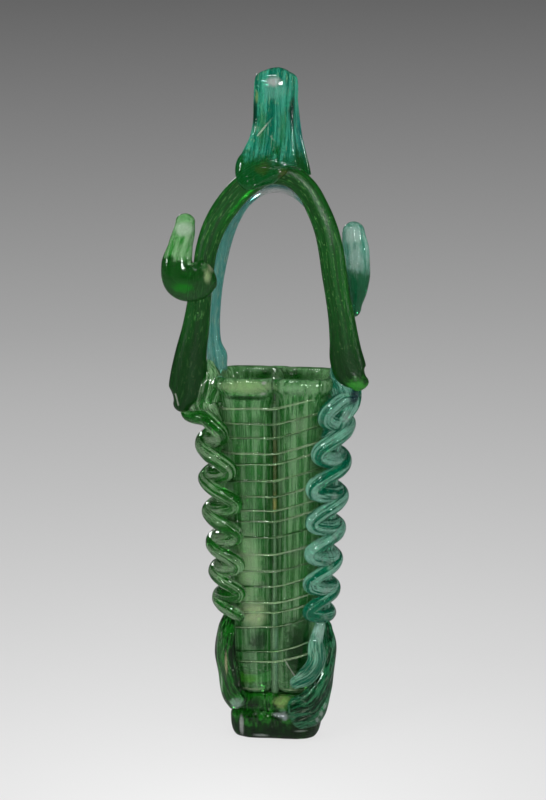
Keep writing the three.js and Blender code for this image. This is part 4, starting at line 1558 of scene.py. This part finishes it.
@dataclass
class BodyThread:
    """The fine thread wound round both tubes."""

    top: float = 114.6
    fronts: tuple[float, ...] = (
        113.5, 108.5, 104.2, 98.6, 95.2, 89.6, 84.6, 79.2, 76.2,
        70.8, 64.7, 59.0, 53.9, 48.2, 45.1, 40.4, 31.2, 27.7,
    )
    bottom: float = 25.6
    at_front: float = 0.25
    eased: float = 0.3
    diameter: float = 0.8
    room: float = -0.35
    dip: float = 1.4
    sag: float = 0.6
    right_rise: float = 2.9
    rise_width: float = 17.0
    rise_start: float = -1.0
    rise_level: float = 0.4
    rise_depths: Pair = (-9.0, 3.0)
    seam_width: float = 4.5
    wander: float = 0.6
    wander_rate: float = 2.3
    wander_seed: float = 5.1
    parts: tuple[int, ...] = (4, 3, 8, 3, 4)
    steps: int = 120
    end_steps: int = 10

    def level(self, total: Array) -> Array:
        """Heights of the thread after so many turns, eased between its fronts.

        Args:
            total: Turns from the start.

        Returns:
            The heights.
        """
        turns = len(self.fronts)
        marked = np.concatenate([[0], np.arange(turns) + self.at_front, [turns]])
        height = np.interp(total, marked, (self.top, *self.fronts, self.bottom))
        reach = round(self.eased * self.steps)
        padded = np.pad(height, reach, mode="edge")
        height = np.convolve(padded, np.full(2 * reach + 1, 1 / (2 * reach + 1)), mode="valid")
        places = [Vector((turn * self.wander_rate, self.wander_seed, 0.0)) for turn in total]
        return height + self.wander * np.array([noise.noise(place) for place in places])

    def path(self) -> Array:
        """The thread's middle line.

        Returns:
            Points along it in millimetres.
        """
        turns = len(self.fronts)
        total = np.linspace(0, turns, turns * self.steps + 1)
        turn = total % 1
        height = self.level(total)
        radius = PAIR.wall_radius(height) + self.room + self.diameter / 2
        offset = PAIR.axis_offset(height)
        marks = np.cumsum((0, *self.parts)) / sum(self.parts)
        part = np.digitize(turn, marks[1:-1])
        shares = [np.clip((turn - start) / (end - start), 0, 1) for start, end in zip(marks, marks[1:])]
        points = np.zeros((len(total), 3))
        # Round the right tube to the front, round the left one to the back, and back to the right one
        for number, side, start, sweep in ((0, 1, 0, -90), (2, -1, -90, -180), (4, 1, 90, -90)):
            here = part == number
            angle = np.radians(start + sweep * shares[number])
            points[here, 0] = (side * offset + radius * np.cos(angle))[here]
            points[here, 1] = (radius * np.sin(angle))[here]
        # Across the front and the back of the pair
        for number, face in ((1, -1), (3, 1)):
            here = part == number
            across = face * offset * (2 * shares[number] - 1)
            dip = self.dip * np.cos(math.pi * across / (2 * offset)) ** 2
            points[here, 0] = across[here]
            points[here, 1] = (face * (radius - dip))[here]
        near_seam = np.exp(-((points[:, 0] / self.seam_width) ** 2))
        to_right = smoothstep(points[:, 0], self.rise_start, self.rise_width)
        to_front = smoothstep(-points[:, 1], *self.rise_depths)
        risen = self.right_rise * (to_right * to_front - self.rise_level)
        points[:, 2] = height - self.sag * near_seam + risen
        return points

    def build(self, shop: Workshop) -> None:
        """Makes and dresses the thread.

        Args:
            shop: The workshop.
        """
        points = self.path()
        radii = rounded_ends(np.full(len(points), self.diameter / 2), self.end_steps)
        piece = shop.wound("fine_body_thread", points, radii, {
            "Sides": 10, "Unevenness": 0.35, "Lump length": 0.011, "Seed": 2.0,
            "Glass": shop.finishes.material(Finish.THREAD),
        })
        shop.keep(piece, Finish.THREAD, "body_thread")


@dataclass
class SideTrail:
    """A looped trail down one side of the pair."""

    name: str
    side: int
    finish: Finish
    slot: str
    top: float
    bottom: float
    first_pitch: float
    start: float
    end: float
    swing: float
    swing_loss: float
    top_reach: float
    end_reach: float
    lead: tuple[Point, ...]
    lead_share: float = 0.95
    top_diameter: float = 5.6
    end_diameter: float = 4.3
    reach_turns: float = 2.2
    fuller_behind: float = 0.05
    front_fall: float = 1.5
    front_place: float = 50.0
    swing_power: float = 2.0
    least_swing: float = 1.3
    room: float = 0.05
    sink: float = 0.9
    steps: int = 90
    station_every: int = 6
    lead_steps: int = 60
    end_steps: int = 12

    def path(self) -> tuple[Array, Array]:
        """The trail's middle line.

        Returns:
            Points along it, and its radius at them.
        """
        count = round((self.end - self.start) * self.steps)
        turn = np.linspace(self.start, self.end, count + 1)
        down = turn / self.end
        angle = 2 * math.pi * turn
        whole = np.floor(turn)
        place = math.radians(self.front_place)
        part = angle - 2 * math.pi * whole
        front = self.front_fall
        fallen = whole + (part + front * (np.sin(part - place) + math.sin(place))) / (2 * math.pi)
        draw = 2 * (self.bottom - self.top + self.first_pitch * self.end) / self.end**2
        height = self.top - self.first_pitch * fallen + draw * fallen**2 / 2
        radius = lerp(self.top_diameter, self.end_diameter, down) / 2
        radius = radius * (1 - self.fuller_behind * np.cos(angle))
        swing = np.maximum(self.swing - self.swing_loss * turn, self.least_swing)
        outward = PAIR.lay_radius(height, radius, self.room) - self.sink
        outward = outward + swing * ((1 + np.cos(angle)) / 2) ** self.swing_power
        reach = lerp(self.top_reach, self.end_reach, smoothstep(turn, 0, self.reach_turns))
        around = np.radians(reach) * np.sin(angle)
        x = self.side * (PAIR.axis_offset(height) + outward * np.cos(around))
        points = np.stack([x, -outward * np.sin(around), height], axis=-1)
        stations = np.vstack([self.lead, points[::self.station_every]])
        lead_radii = np.full(len(self.lead), radius[0] * self.lead_share)
        sizes = np.concatenate([lead_radii, radius[::self.station_every]])[:, None]
        run, widths = StationCurve(stations, sizes).sample(len(points) + self.lead_steps)
        return run, widths[:, 0]

    def build(self, shop: Workshop) -> None:
        """Makes and dresses the trail.

        Args:
            shop: The workshop.
        """
        points, radii = self.path()
        piece = shop.wound("fine_" + self.name, points, rounded_ends(radii, self.end_steps), {
            "Sides": 28, "Unevenness": 0.16, "Lump length": 0.009, "Seed": 4.0 + self.side,
            "Glass": shop.finishes.material(self.finish),
        })
        waves = (Unevenness(0.16, 3, 1.6, 1.3 * self.side), Unevenness(0.05, 1.1, 3, 4))
        work_surface(piece, waves)
        shop.keep(piece, self.finish, self.name)


def side_trails() -> list[SideTrail]:
    """The two trails of this object."""
    return [
        SideTrail(
            "left_side_trail", -1, Finish.LEFT_TRAIL, "green_trail_glass",
            top=PAIR.shoulder - 4.7, bottom=PAIR.left_trail_bottom, first_pitch=12.6,
            start=0.1, end=6.3, swing=4.1, swing_loss=0.4, top_reach=55, end_reach=75,
            lead=((-30.4, -3.2, 113.6), (-28.6, -6.2, 109.2)),
        ),
        SideTrail(
            "right_side_trail", 1, Finish.RIGHT_TRAIL, "teal_trail_glass",
            top=PAIR.shoulder + 1.8, bottom=PAIR.right_trail_bottom, first_pitch=12.9,
            start=0.09, end=7.05, swing=2.8, swing_loss=0.25, top_reach=50, end_reach=65,
            lead=((27.4, -2.6, 118.5), (26.2, -5.6, 116.0)),
        ),
    ]


@dataclass
class Join:
    """A wad of glass that fuses a foot of the front arch to a rim and the wall below it."""

    name: str
    finish: Finish
    slot: str
    stations: tuple[tuple[float, float, float, float, float], ...]
    tip: float = 1.6
    steps: int = 110
    sides: int = 48
    waves: Waves = (Unevenness(0.7, 3.4, 2.2, 2.9), Unevenness(0.2, 1.2, 4, 6.5))

    def build(self, shop: Workshop) -> None:
        """Makes and dresses the wad.

        Args:
            shop: The workshop.
        """
        rows = np.array(self.stations)
        curve = StationCurve(rows[:, :3], rows[:, 3:]).sample(self.steps)
        piece = strand_solid(self.name, curve, front_to_back(self.steps), self.sides, self.tip)
        work_surface(piece, self.waves)
        shop.keep(piece, self.finish)


def joins() -> list[Join]:
    """The joins under the front arch's feet, and the glass that closes the notch between the rims."""
    return [
        Join("rim_bridge", Finish.BODY, "body_glass", (
            (-4.4, 9, 121.7, 3, 3), (-2, 9.2, 121.9, 3.4, 3.4),
            (2, 9.2, 121.9, 3.4, 3.4), (4.4, 9, 121.7, 3, 3),
        ), waves=(Unevenness(0.15, 3, 2, 4.9),)),
        Join("left_join", Finish.LEFT_TRAIL, "green_trail_glass", (
            (-21.8, -3.2, 125.4, 4, 4), (-20.9, -4, 122.6, 6.2, 6),
            (-21.8, -5, 118.5, 9.6, 7.5), (-22.8, -5.5, 112.6, 12.2, 6.5),
            (-19.8, -6, 107.5, 5, 5), (-17.8, -6.5, 103, 3.2, 4),
        )),
        Join("right_join", Finish.RIGHT_TRAIL, "teal_trail_glass", (
            (20.8, -3, 124, 6.2, 6), (23, -4, 119.5, 10.4, 7),
            (24, -4.5, 114.5, 9.2, 6.5), (21, -5.5, 108.5, 6.4, 5), (17.8, -6.5, 103, 4, 4),
        )),
    ]


@dataclass
class Arch:
    """One arch of the handle, in stations measured from the rims."""

    name: str
    finish: Finish
    slot: str
    left_leg: tuple[Station, ...]
    crown: tuple[Station, ...]
    right_leg: tuple[Station, ...]
    depth: float
    foot_depth: float
    set_back: float
    crown_set_back: float
    foot_set_back: float
    tip: float
    waves: Waves
    swellings: tuple[Swelling, ...] = ()
    foot_rise: float = 20.0
    crown_fall: float = 26.0
    sides: int = 56
    steps: int = 420

    @property
    def top(self) -> float:
        """Height of the middle of the crown."""
        return PAIR.rim_top + max(station[1] for station in self.crown)

    def run(self) -> tuple[Array, Array]:
        """The arch's middle line.

        Returns:
            Points along it, and width and thickness at them.
        """
        places = [(-PAIR.rim_side - out, PAIR.rim_top + up, width) for out, up, width in self.left_leg]
        places += [(across, PAIR.rim_top + up, width) for across, up, width in self.crown]
        places += [(PAIR.rim_side + out, PAIR.rim_top + up, width) for out, up, width in self.right_leg]
        x, z, width = np.array(places).T
        foot = PAIR.rim_top + self.left_leg[0][1]
        leg = smoothstep(z, foot, foot + self.foot_rise)
        crown = smoothstep(z, self.top - self.crown_fall, self.top)
        y = lerp(lerp(self.foot_set_back, self.set_back, leg), self.crown_set_back, crown)
        thickness = lerp(self.foot_depth, self.depth, leg)
        return StationCurve(np.stack([x, y, z], -1), np.stack([width, thickness], -1)).sample(self.steps)

    def build(self, shop: Workshop) -> Piece:
        """Makes and dresses the arch.

        Args:
            shop: The workshop.

        Returns:
            The arch.
        """
        ways = front_to_back(self.steps)
        piece = strand_solid("fine_" + self.name, self.run(), ways, self.sides, self.tip)
        work_surface(piece, self.waves, self.swellings)
        shop.keep(piece, self.finish, self.name)
        return piece


FRONT_ARCH = Arch(
    "front_handle", Finish.FRONT_HANDLE, "deep_green_glass",
    left_leg=(
        (9.6, -10.2, 6), (8, -5.8, 12), (7.5, -0.8, 12), (6.6, 6.9, 10.3), (5.1, 14.8, 9),
        (4, 22.2, 8), (3.2, 28.2, 7.4), (2.2, 34.7, 7.1), (1.1, 41.2, 7.3), (-1.2, 48.2, 7.8),
    ),
    crown=(
        (-15.6, 54.9, 8.1), (-10, 61.4, 7.9), (-2.6, 65.7, 7.4),
        (4.6, 65.2, 7), (10.4, 60.9, 7), (14.3, 54.4, 7.4),
    ),
    right_leg=(
        (-3.6, 48.2, 7.7), (-1.9, 41.7, 8), (-0.8, 34.2, 8), (0.3, 26.7, 7.8), (1.6, 19.2, 8.6),
        (2.6, 12, 9.8), (3.4, 6, 11.2), (5, 1.2, 10.6), (7.4, -1.7, 6),
    ),
    depth=6, foot_depth=8.6, set_back=-6.3, crown_set_back=-3.7, foot_set_back=-5.4, tip=2.6,
    waves=(Unevenness(0.35, 9, 3, 2.2), Unevenness(0.12, 2.6, 9, 5.5)),
    swellings=(Swelling((30.6, -7.8, 121.6), 1.7, 0.9), Swelling((26.8, -8.4, 122.4), 1.5, 0.7)),
)

BACK_ARCH = Arch(
    "back_handle", Finish.BACK_HANDLE, "blue_teal_glass",
    left_leg=(
        (-0.6, -1.6, 6.2), (0.3, 3.7, 6), (1.1, 8.7, 4.9), (1.4, 14.2, 4.6),
        (1.2, 20.2, 4.6), (0.3, 27.8, 4.6), (-1.2, 35.7, 4.7), (-2.9, 42.7, 4.9),
    ),
    crown=(
        (-15.2, 49.7, 5.1), (-11.2, 56.2, 5.3), (-5, 60.6, 5.4),
        (2, 61.2, 5.4), (8.2, 58.2, 5.3), (12.6, 53, 5.1),
    ),
    right_leg=(
        (-4.8, 46.7, 4.9), (-3, 39.7, 4.7), (-1.9, 32.2, 4.6), (-1.1, 24.7, 4.6),
        (0, 17.2, 4.6), (0.6, 9.2, 4.9), (0.3, 3.7, 6), (-0.6, -1.6, 6.2),
    ),
    depth=4.8, foot_depth=6.4, set_back=6.6, crown_set_back=3.7, foot_set_back=5.6, tip=1.2,
    waves=(Unevenness(0.25, 8, 3, 8.2), Unevenness(0.08, 2.4, 9, 1.5)),
    swellings=(Swelling((-18.6, 5.8, 127.5), 3.0, 0.9),),
)


@dataclass
class Finial:
    """The ribbon folded over the crown, up from one arch and down to the other."""

    front_leaf: tuple[Station, ...] = (
        (-1.2, -0.07, 13), (-1.7, -0.035, 19), (-2.1, 0.04, 21), (-1.5, 0.17, 18.2), (-0.8, 0.36, 15),
        (-0.4, 0.55, 13.5), (-0.3, 0.76, 13.2),
    )
    back_leaf: tuple[Station, ...] = (
        (1.8, 0, 18.4), (1.2, 0.22, 16.8), (0.8, 0.4, 15.2), (0.4, 0.58, 14.4), (0.1, 0.78, 13.6),
    )
    front_seat: float = 0.1
    back_seat: float = 2.8
    splay: float = 0.9
    draped_below: float = 0.07
    drape: float = 19.0
    fold_across: float = 0.1
    fold_radius: float = 2.9
    fold_rise: float = 28.8
    fold_widths: tuple[float, ...] = (13.2, 12.4, 8.0, 12.4, 13.5)
    thickness: float = 4.2
    tip: float = 0.8
    steps: int = 260
    sides: int = 64
    waves: Waves = (Unevenness(0.45, 5, 5, 6.6), Unevenness(0.12, 1.6, 10, 2.5))

    def leaf(
        self, stations: Sequence[Station], arch: Arch, seat: float, fold: float
    ) -> list[tuple[float, ...]]:
        """Stations of one leaf, from its arch up.

        Args:
            stations: Across, share of the way up and width at each.
            arch: The arch it stands on.
            seat: Its start above the arch's crown.
            fold: Height of the fold.

        Returns:
            Across, depth, height and width at each station.
        """
        spread = math.copysign(1, arch.crown_set_back)
        splayed = abs(arch.crown_set_back) + self.splay
        places = []
        for x, share, width in stations:
            draped = self.drape * max(self.draped_below - share, 0) if share < 0 else 0
            deep = spread * (lerp(splayed, self.fold_radius, share) + draped)
            places.append((x, deep, lerp(arch.top + seat, fold, share), width))
        return places

    def build(self, shop: Workshop) -> Piece:
        """Makes and dresses the finial.

        Args:
            shop: The workshop.

        Returns:
            The finial.
        """
        fold = FRONT_ARCH.top + self.fold_rise
        bends = np.radians(np.linspace(180, 0, len(self.fold_widths)))
        deep, rise = self.fold_radius * np.cos(bends), fold + self.fold_radius * np.sin(bends)
        over = [(self.fold_across, *rest) for rest in zip(deep, rise, self.fold_widths)]
        stations = self.leaf(self.front_leaf, FRONT_ARCH, self.front_seat, fold) + over
        stations += self.leaf(self.back_leaf, BACK_ARCH, self.back_seat, fold)[::-1]
        rows = np.array(stations)
        sizes = np.stack([rows[:, 3], np.full(len(rows), self.thickness)], -1)
        points, sizes = StationCurve(rows[:, :3], sizes).sample(self.steps)
        above_fold = np.maximum(points[:, 2] - fold, 0)
        ways = unit(np.stack([np.zeros(self.steps), points[:, 1], above_fold], -1))
        piece = strand_solid("fine_finial", (points, sizes), ways, self.sides, self.tip)
        work_surface(piece, self.waves)
        shop.keep(piece, Finish.FINIAL, "finial")
        return piece


@dataclass
class Lug:
    """A lug beside an arch's leg; its stations are out from the rim, deep, up, width and thickness."""

    name: str
    side: int
    finish: Finish
    slot: str
    set_back: float
    stations: tuple[tuple[float, float, float, float, float], ...]
    tip: float
    steps: int = 150
    sides: int = 48
    waves: Waves = (Unevenness(0.3, 5, 1.5, 9.1), Unevenness(0.08, 1.7, 3, 3.5))

    def build(self, shop: Workshop) -> None:
        """Makes and dresses the lug.

        Args:
            shop: The workshop.
        """
        out, deep, up, width, thickness = np.array(self.stations).T
        across = self.side * (PAIR.rim_side + out)
        places = np.stack([across, self.set_back + deep, PAIR.rim_top + up], -1)
        curve = StationCurve(places, np.stack([width, thickness], -1)).sample(self.steps)
        ways = front_to_back(self.steps)
        piece = strand_solid("fine_" + self.name, curve, ways, self.sides, self.tip)
        work_surface(piece, self.waves)
        shop.keep(piece, self.finish, self.name)


def lugs() -> list[Lug]:
    """The two lugs of this object."""
    return [
        Lug("left_lug", -1, Finish.LEFT_LUG, "green_trail_glass", FRONT_ARCH.set_back, (
            (0.6, -3.4, 33.2, 10.5, 5.4), (4.2, -3.2, 31.2, 13.2, 6.2), (8.6, -2.6, 31.4, 13, 6.6),
            (10.6, -1.6, 36.2, 10.6, 6.6), (9.8, -0.8, 41.6, 8.2, 6.4), (8.6, -0.3, 46.6, 7.4, 6),
            (8.2, -0.3, 49.9, 6.4, 5.4),
        ), 2.6),
        Lug("right_lug", 1, Finish.RIGHT_LUG, "teal_trail_glass", BACK_ARCH.set_back, (
            (4.6, -0.2, 21.4, 4.6, 4), (5.2, -0.3, 26.4, 7, 6), (5.2, -0.4, 32.9, 8.6, 6.8),
            (4.8, -0.5, 39.9, 8.8, 6.8), (4, -0.6, 46, 7.6, 6.2),
        ), 3.4),
    ]


@dataclass
class LaidStrand:
    """A strand down one tube: degrees round to the front, share of the way up, width and thickness."""

    name: str
    side: int
    finish: Finish
    slot: str
    bottom: float
    top: float
    stations: tuple[tuple[float, float, float, float], ...]
    tip: float
    waves: Waves = (Unevenness(0.3, 5, 2, 4.4), Unevenness(0.08, 1.6, 6, 8.8))
    room: float = 0.1
    in_solids: bool = True
    steps: int = 170
    sides: int = 44

    def build(self, shop: Workshop) -> None:
        """Makes and dresses the strand.

        Args:
            shop: The workshop.
        """
        degrees, share, width, thickness = np.array(self.stations).T
        height = lerp(self.bottom, self.top, share)
        outward = PAIR.lay_radius(height, thickness / 2, self.room)
        around = np.radians(degrees)
        x = self.side * (PAIR.axis_offset(height) + outward * np.cos(around))
        places = np.stack([x, -outward * np.sin(around), height], -1)
        points, sizes = StationCurve(places, np.stack([width, thickness], -1)).sample(self.steps)
        ways = points.copy()
        ways[:, 0] -= self.side * PAIR.axis_offset(points[:, 2])
        ways[:, 2] = 0
        piece = strand_solid("fine_" + self.name, (points, sizes), unit(ways), self.sides, self.tip)
        work_surface(piece, self.waves)
        shop.keep(piece, self.finish, self.name if self.in_solids else None)


TRAIL_BED = ((4, 1, 7, 4.2), (2, 0.7, 6.6, 4), (2, 0.4, 6.2, 3.6), (4, 0, 5, 3.2))


def laid_strands() -> list[LaidStrand]:
    """The strands below the trails, and the glass that beds the trails on the walls."""
    return [
        LaidStrand(
            "left_trail_bed", -1, Finish.LEFT_TRAIL, "green_trail_glass",
            PAIR.left_trail_bottom + 1.0, 111.0, TRAIL_BED, 2.0, room=-1.5, in_solids=False,
        ),
        LaidStrand(
            "right_trail_bed", 1, Finish.RIGHT_TRAIL, "teal_trail_glass",
            PAIR.right_trail_bottom + 1.0, 114.0, TRAIL_BED, 2.0, room=-1.5, in_solids=False,
        ),
        LaidStrand(
            "lower_left_strand", -1, Finish.LOWER, "deep_green_glass",
            PAIR.foot_height + 3.5, PAIR.left_trail_bottom - 1.4,
            ((48, 1, 4, 2.6), (42, 0.8, 8.4, 4.2), (39, 0.54, 10.8, 5.2), (40, 0.29, 11, 5.4),
             (47, 0.1, 9.6, 5.2), (60, 0, 8, 4.8)), 2.0,
        ),
        LaidStrand(
            "lower_right_strand", 1, Finish.LOWER_RIGHT, "deep_green_glass",
            PAIR.foot_height + 0.5, PAIR.right_trail_bottom - 3.0,
            ((13, 1, 3.4, 3.2), (11, 0.81, 5.4, 4.8), (14, 0.56, 7, 6), (28, 0.29, 10, 5.6),
             (54, 0.06, 13, 5.2), (80, 0, 11, 4.4)), 3.0,
        ),
        LaidStrand(
            "teal_swirl", 1, Finish.SWIRL, "blue_teal_glass",
            PAIR.foot_height + 10.7, PAIR.right_trail_bottom - 0.6,
            ((39, 1, 3.6, 3.2), (48, 0.7, 5.6, 3.9), (46, 0.4, 7.2, 4.1), (60, 0.13, 7.2, 3.7),
             (87, 0, 4, 3.2)), 1.6,
        ),
    ]


@dataclass
class FootPad:
    """The flat foot: a pad with a rounded edge, and on it a saddle up to the tubes."""

    height: float = PAIR.foot_height
    wall: float = 1.8
    tuck: float = 2.3
    lower_round: float = 4.8
    upper_round: float = 2.0
    saddle_rise: float = 6.0
    saddle_inset: float = 0.5
    saddle_edge: Pair = (1.2, 3.5)
    underside_insets: Pair = (5, 2)
    squareness: float = 2 / 3
    lower_rings: int = 14
    upper_rings: int = 12
    saddle_rings: int = 8
    sides: int = 120
    waves: Waves = (Unevenness(0.3, 8, 1, 7.4), Unevenness(0.08, 2, 1, 1.8))

    def rows(self) -> list[Pair]:
        """Rings of the solid, from the flat underside up.

        Returns:
            Inset and height of each ring.
        """
        shoulder = self.height - self.upper_round
        drawn_in = self.wall + self.saddle_inset
        lower = np.radians(np.linspace(-90, 0, self.lower_rings))
        upper = np.radians(np.linspace(0, 90, self.upper_rings))
        rows = [(self.tuck + inset, 0.0) for inset in self.underside_insets]
        rows += [(self.tuck * (1 - math.cos(a)), self.lower_round * (1 + math.sin(a))) for a in lower]
        rows += [(0.0, z) for z in np.linspace(self.lower_round + 0.6, shoulder - 0.3, 4)]
        rows += [(drawn_in * (1 - math.cos(a)), shoulder + self.upper_round * math.sin(a)) for a in upper]
        top = self.height + self.saddle_rise
        saddle = np.linspace(self.height + 0.7, top - 0.2, self.saddle_rings)
        rows += [(drawn_in, z) for z in saddle]
        return rows + [(drawn_in + inset, top) for inset in self.saddle_edge]

    def build(self, shop: Workshop) -> None:
        """Makes and dresses the foot.

        Args:
            shop: The workshop.
        """
        angles = 2 * math.pi * (np.arange(self.sides) + 0.5) / self.sides
        cos, sin = np.cos(angles), np.sin(angles)
        wide = np.sign(cos) * np.abs(cos) ** self.squareness
        deep = np.sign(sin) * np.abs(sin) ** self.squareness
        rings = []
        for inset, height in self.rows():
            wall = float(PAIR.wall_radius(height))
            half_width = float(PAIR.axis_offset(height)) + wall + self.wall - inset
            half_depth = wall + self.wall - inset
            level = np.full(self.sides, height)
            rings.append(np.stack([half_width * wide, half_depth * deep, level], -1))
        top = self.height + self.saddle_rise
        stacked = np.array(rings)
        piece = ring_solid("fine_foot_pad", stacked, stacked, np.array([[0, 0, 0], [0, 0, top]]))
        work_surface(piece, self.waves)
        self.rest_flat(piece)
        shop.keep(piece, Finish.PAD, "foot_pad")

    def rest_flat(self, piece: Piece) -> None:
        """Keeps the worked underside flat on the floor."""
        for vertex in piece.data.vertices:
            vertex.co.z = max(vertex.co.z, 0.0)


# Studio


@dataclass(frozen=True)
class Lamp:
    """A soft lamp that looks at the object, in metres and watts."""

    name: str
    place: Point
    width: float
    height: float
    power: float
    target: Point = (0.0, 0.0, 0.11)

    def build(self) -> None:
        """Adds the lamp."""
        data = bpy.data.lights.new(self.name, "AREA")
        data.shape = "RECTANGLE"
        data.size = self.width
        data.size_y = self.height
        data.energy = self.power
        lamp = shown(self.name, data)
        lamp.location = self.place
        aim = Vector(self.target) - Vector(self.place)
        lamp.rotation_euler = aim.to_track_quat("-Z", "Y").to_euler()


@dataclass(frozen=True)
class Studio:
    """Floor, surroundings, lamps and camera."""

    azimuth: float = 8.0
    elevation: float = 10.0
    distance: float = 0.877
    lens: float = 120.0
    sensor: float = 36.0
    sight: float = 60.0
    target: Point = (0.0, 0.0, 0.111)
    shift: Pair = (-3 / 800, 8 / 800)
    floor_radius: float = 14.0
    floor_sides: int = 96
    near: Colour = (0.9, 0.9, 0.9)
    far: Colour = (0.014, 0.014, 0.014)
    horizon: Colour = (0.11, 0.11, 0.111)
    brightest: Point = (0.0, -0.1, 0.0)
    fade: float = 0.52
    mirrored: float = 0.26
    plain_light: float = 1.0
    glow_share: float = 0.91
    overhead: Shade = (60, 60, 62)
    overhead_from: float = 0.75
    lamps: tuple[Lamp, ...] = (
        Lamp("front_softbox", (0.16, -0.62, 0.42), 0.1, 0.08, 1.0),
        Lamp("left_spot", (-0.6, -0.4, 0.3), 0.05, 0.05, 0.35),
        Lamp("right_spot", (0.66, -0.3, 0.26), 0.05, 0.05, 0.3),
        Lamp("top_softbox", (-0.2, -0.4, 0.85), 0.14, 0.1, 1.0),
        Lamp("back_spot", (-0.35, 0.7, 0.4), 0.08, 0.08, 0.5),
        Lamp("low_front_spot", (0.08, -0.75, 0.13), 0.03, 0.03, 0.1),
        Lamp("high_left_spot", (-0.32, -0.6, 0.56), 0.035, 0.035, 0.16),
        Lamp("high_right_spot", (0.5, -0.55, 0.5), 0.035, 0.035, 0.16),
    )

    def camera(self) -> None:
        """Adds the camera at the photograph's viewing angle."""
        turn, rise = math.radians(self.azimuth), math.radians(self.elevation)
        away = (math.sin(turn) * math.cos(rise), -math.cos(turn) * math.cos(rise), math.sin(rise))
        back = Vector(away)
        data = bpy.data.cameras.new("camera")
        data.lens = self.lens
        data.sensor_width = self.sensor
        data.shift_x, data.shift_y = self.shift
        data.clip_end = self.sight
        camera = shown("camera", data)
        camera.location = Vector(self.target) + back * self.distance
        camera.rotation_euler = (-back).to_track_quat("-Z", "Y").to_euler()
        bpy.context.scene.camera = camera

    def seen(self, wiring: Wiring) -> Socket:
        """1 for rays that show the surroundings, straight or by glass."""
        path = wiring.add("ShaderNodeLightPath").outputs
        by_glass = wiring.math("MAXIMUM", path["Is Glossy Ray"], path["Is Transmission Ray"])
        return wiring.math("MAXIMUM", path["Is Camera Ray"], by_glass)

    def strength(self, wiring: Wiring) -> Socket:
        """Strength of the surroundings, which shine less in the glass than behind it."""
        glossy = wiring.add("ShaderNodeLightPath").outputs["Is Glossy Ray"]
        return wiring.ramp(glossy, 0, 1, 1, self.mirrored)

    def floor(self) -> None:
        """Adds the pale floor, which darkens with distance as the photograph's ground does."""
        mesh = bpy.data.meshes.new("floor")
        angles = np.linspace(0, 2 * math.pi, self.floor_sides, endpoint=False)
        ring = [(self.floor_radius * math.cos(a), self.floor_radius * math.sin(a), 0.0) for a in angles]
        mesh.from_pydata(ring, [], [list(range(len(ring)))])
        material = bpy.data.materials.new("floor_paper")
        wiring = emptied(material)
        place = wiring.add("ShaderNodeTexCoord").outputs["Object"]
        distance = wiring.vector("LENGTH", wiring.vector("SUBTRACT", place, self.brightest), output=1)
        fading = wiring.math("DIVIDE", self.fade, wiring.math("ADD", distance, self.fade))
        colour = wiring.mix(fading, self.far, self.near)
        glow = wiring.add("ShaderNodeEmission", {"Color": colour, "Strength": self.strength(wiring)})
        paper = wiring.add("ShaderNodeBsdfDiffuse", {"Color": (*self.near, 1)})
        share = wiring.math("MULTIPLY", self.seen(wiring), self.glow_share)
        mixed = wiring.add("ShaderNodeMixShader", {0: share, 1: paper.outputs[0], 2: glow.outputs[0]})
        wiring.add("ShaderNodeOutputMaterial", {"Surface": mixed.outputs[0]})
        mesh.materials.append(material)
        shown("floor", mesh)

    def surroundings(self) -> None:
        """Sets the world: plain light for surfaces, and the grey of the ground where it is seen."""
        world = bpy.data.worlds.new("studio")
        bpy.context.scene.world = world
        wiring = emptied(world)
        way = wiring.add("ShaderNodeTexCoord").outputs["Generated"]
        up = wiring.add("ShaderNodeSeparateXYZ", {0: way}).outputs[2]
        colour = wiring.mix(wiring.ramp(up, 0.0, self.overhead_from), self.horizon, srgb(self.overhead))
        shown_light = wiring.add("ShaderNodeBackground", {
            "Color": colour, "Strength": self.strength(wiring),
        })
        plain = wiring.add("ShaderNodeBackground", {
            "Color": (1, 1, 1, 1), "Strength": self.plain_light,
        })
        mixed = wiring.add("ShaderNodeMixShader", {
            0: self.seen(wiring), 1: plain.outputs[0], 2: shown_light.outputs[0],
        })
        wiring.add("ShaderNodeOutputWorld", {"Surface": mixed.outputs[0]})

    def build(self) -> None:
        """Sets up the whole studio."""
        self.camera()
        self.floor()
        self.surroundings()
        for lamp in self.lamps:
            lamp.build()
        bpy.context.scene.view_settings.view_transform = "Standard"


def main() -> None:
    """Loads the frame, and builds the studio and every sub-assembly."""
    logging.basicConfig(level=logging.INFO, format="%(name)s: %(message)s")
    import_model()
    Studio().build()
    shop = Workshop(Finishes(), WoundStrandTree(), SeedTree())
    pair = TubePair()
    pair.build(shop)
    # Old kohl in the bores, and a pale cake of painted light in the left one
    for residue in residues_and_painted_light():
        residue.build(shop, pair)
    SeamWeb().build(shop)
    BodyThread().build(shop)
    for trail in side_trails():
        trail.build(shop)
    for join in joins():
        join.build(shop)
    front = FRONT_ARCH.build(shop)
    BACK_ARCH.build(shop)
    crest = Finial().build(shop)
    for lug in lugs():
        lug.build(shop)
    for strand in laid_strands():
        strand.build(shop)
    FootPad().build(shop)
    sizes = {"Smallest": 0.00006, "Largest": 0.0002}
    shop.seeds("front_handle_seeds", front, {
        "Per square metre": 22000.0, "Stretch": 3.0, "Depth": 0.0016, "Seed": 3, **sizes,
    })
    shop.seeds("finial_seeds", crest, {
        "Per square metre": 26000.0, "Stretch": 3.5, "Depth": 0.0012, "Seed": 8, **sizes,
    })


if __name__ == "__main__":
    main()
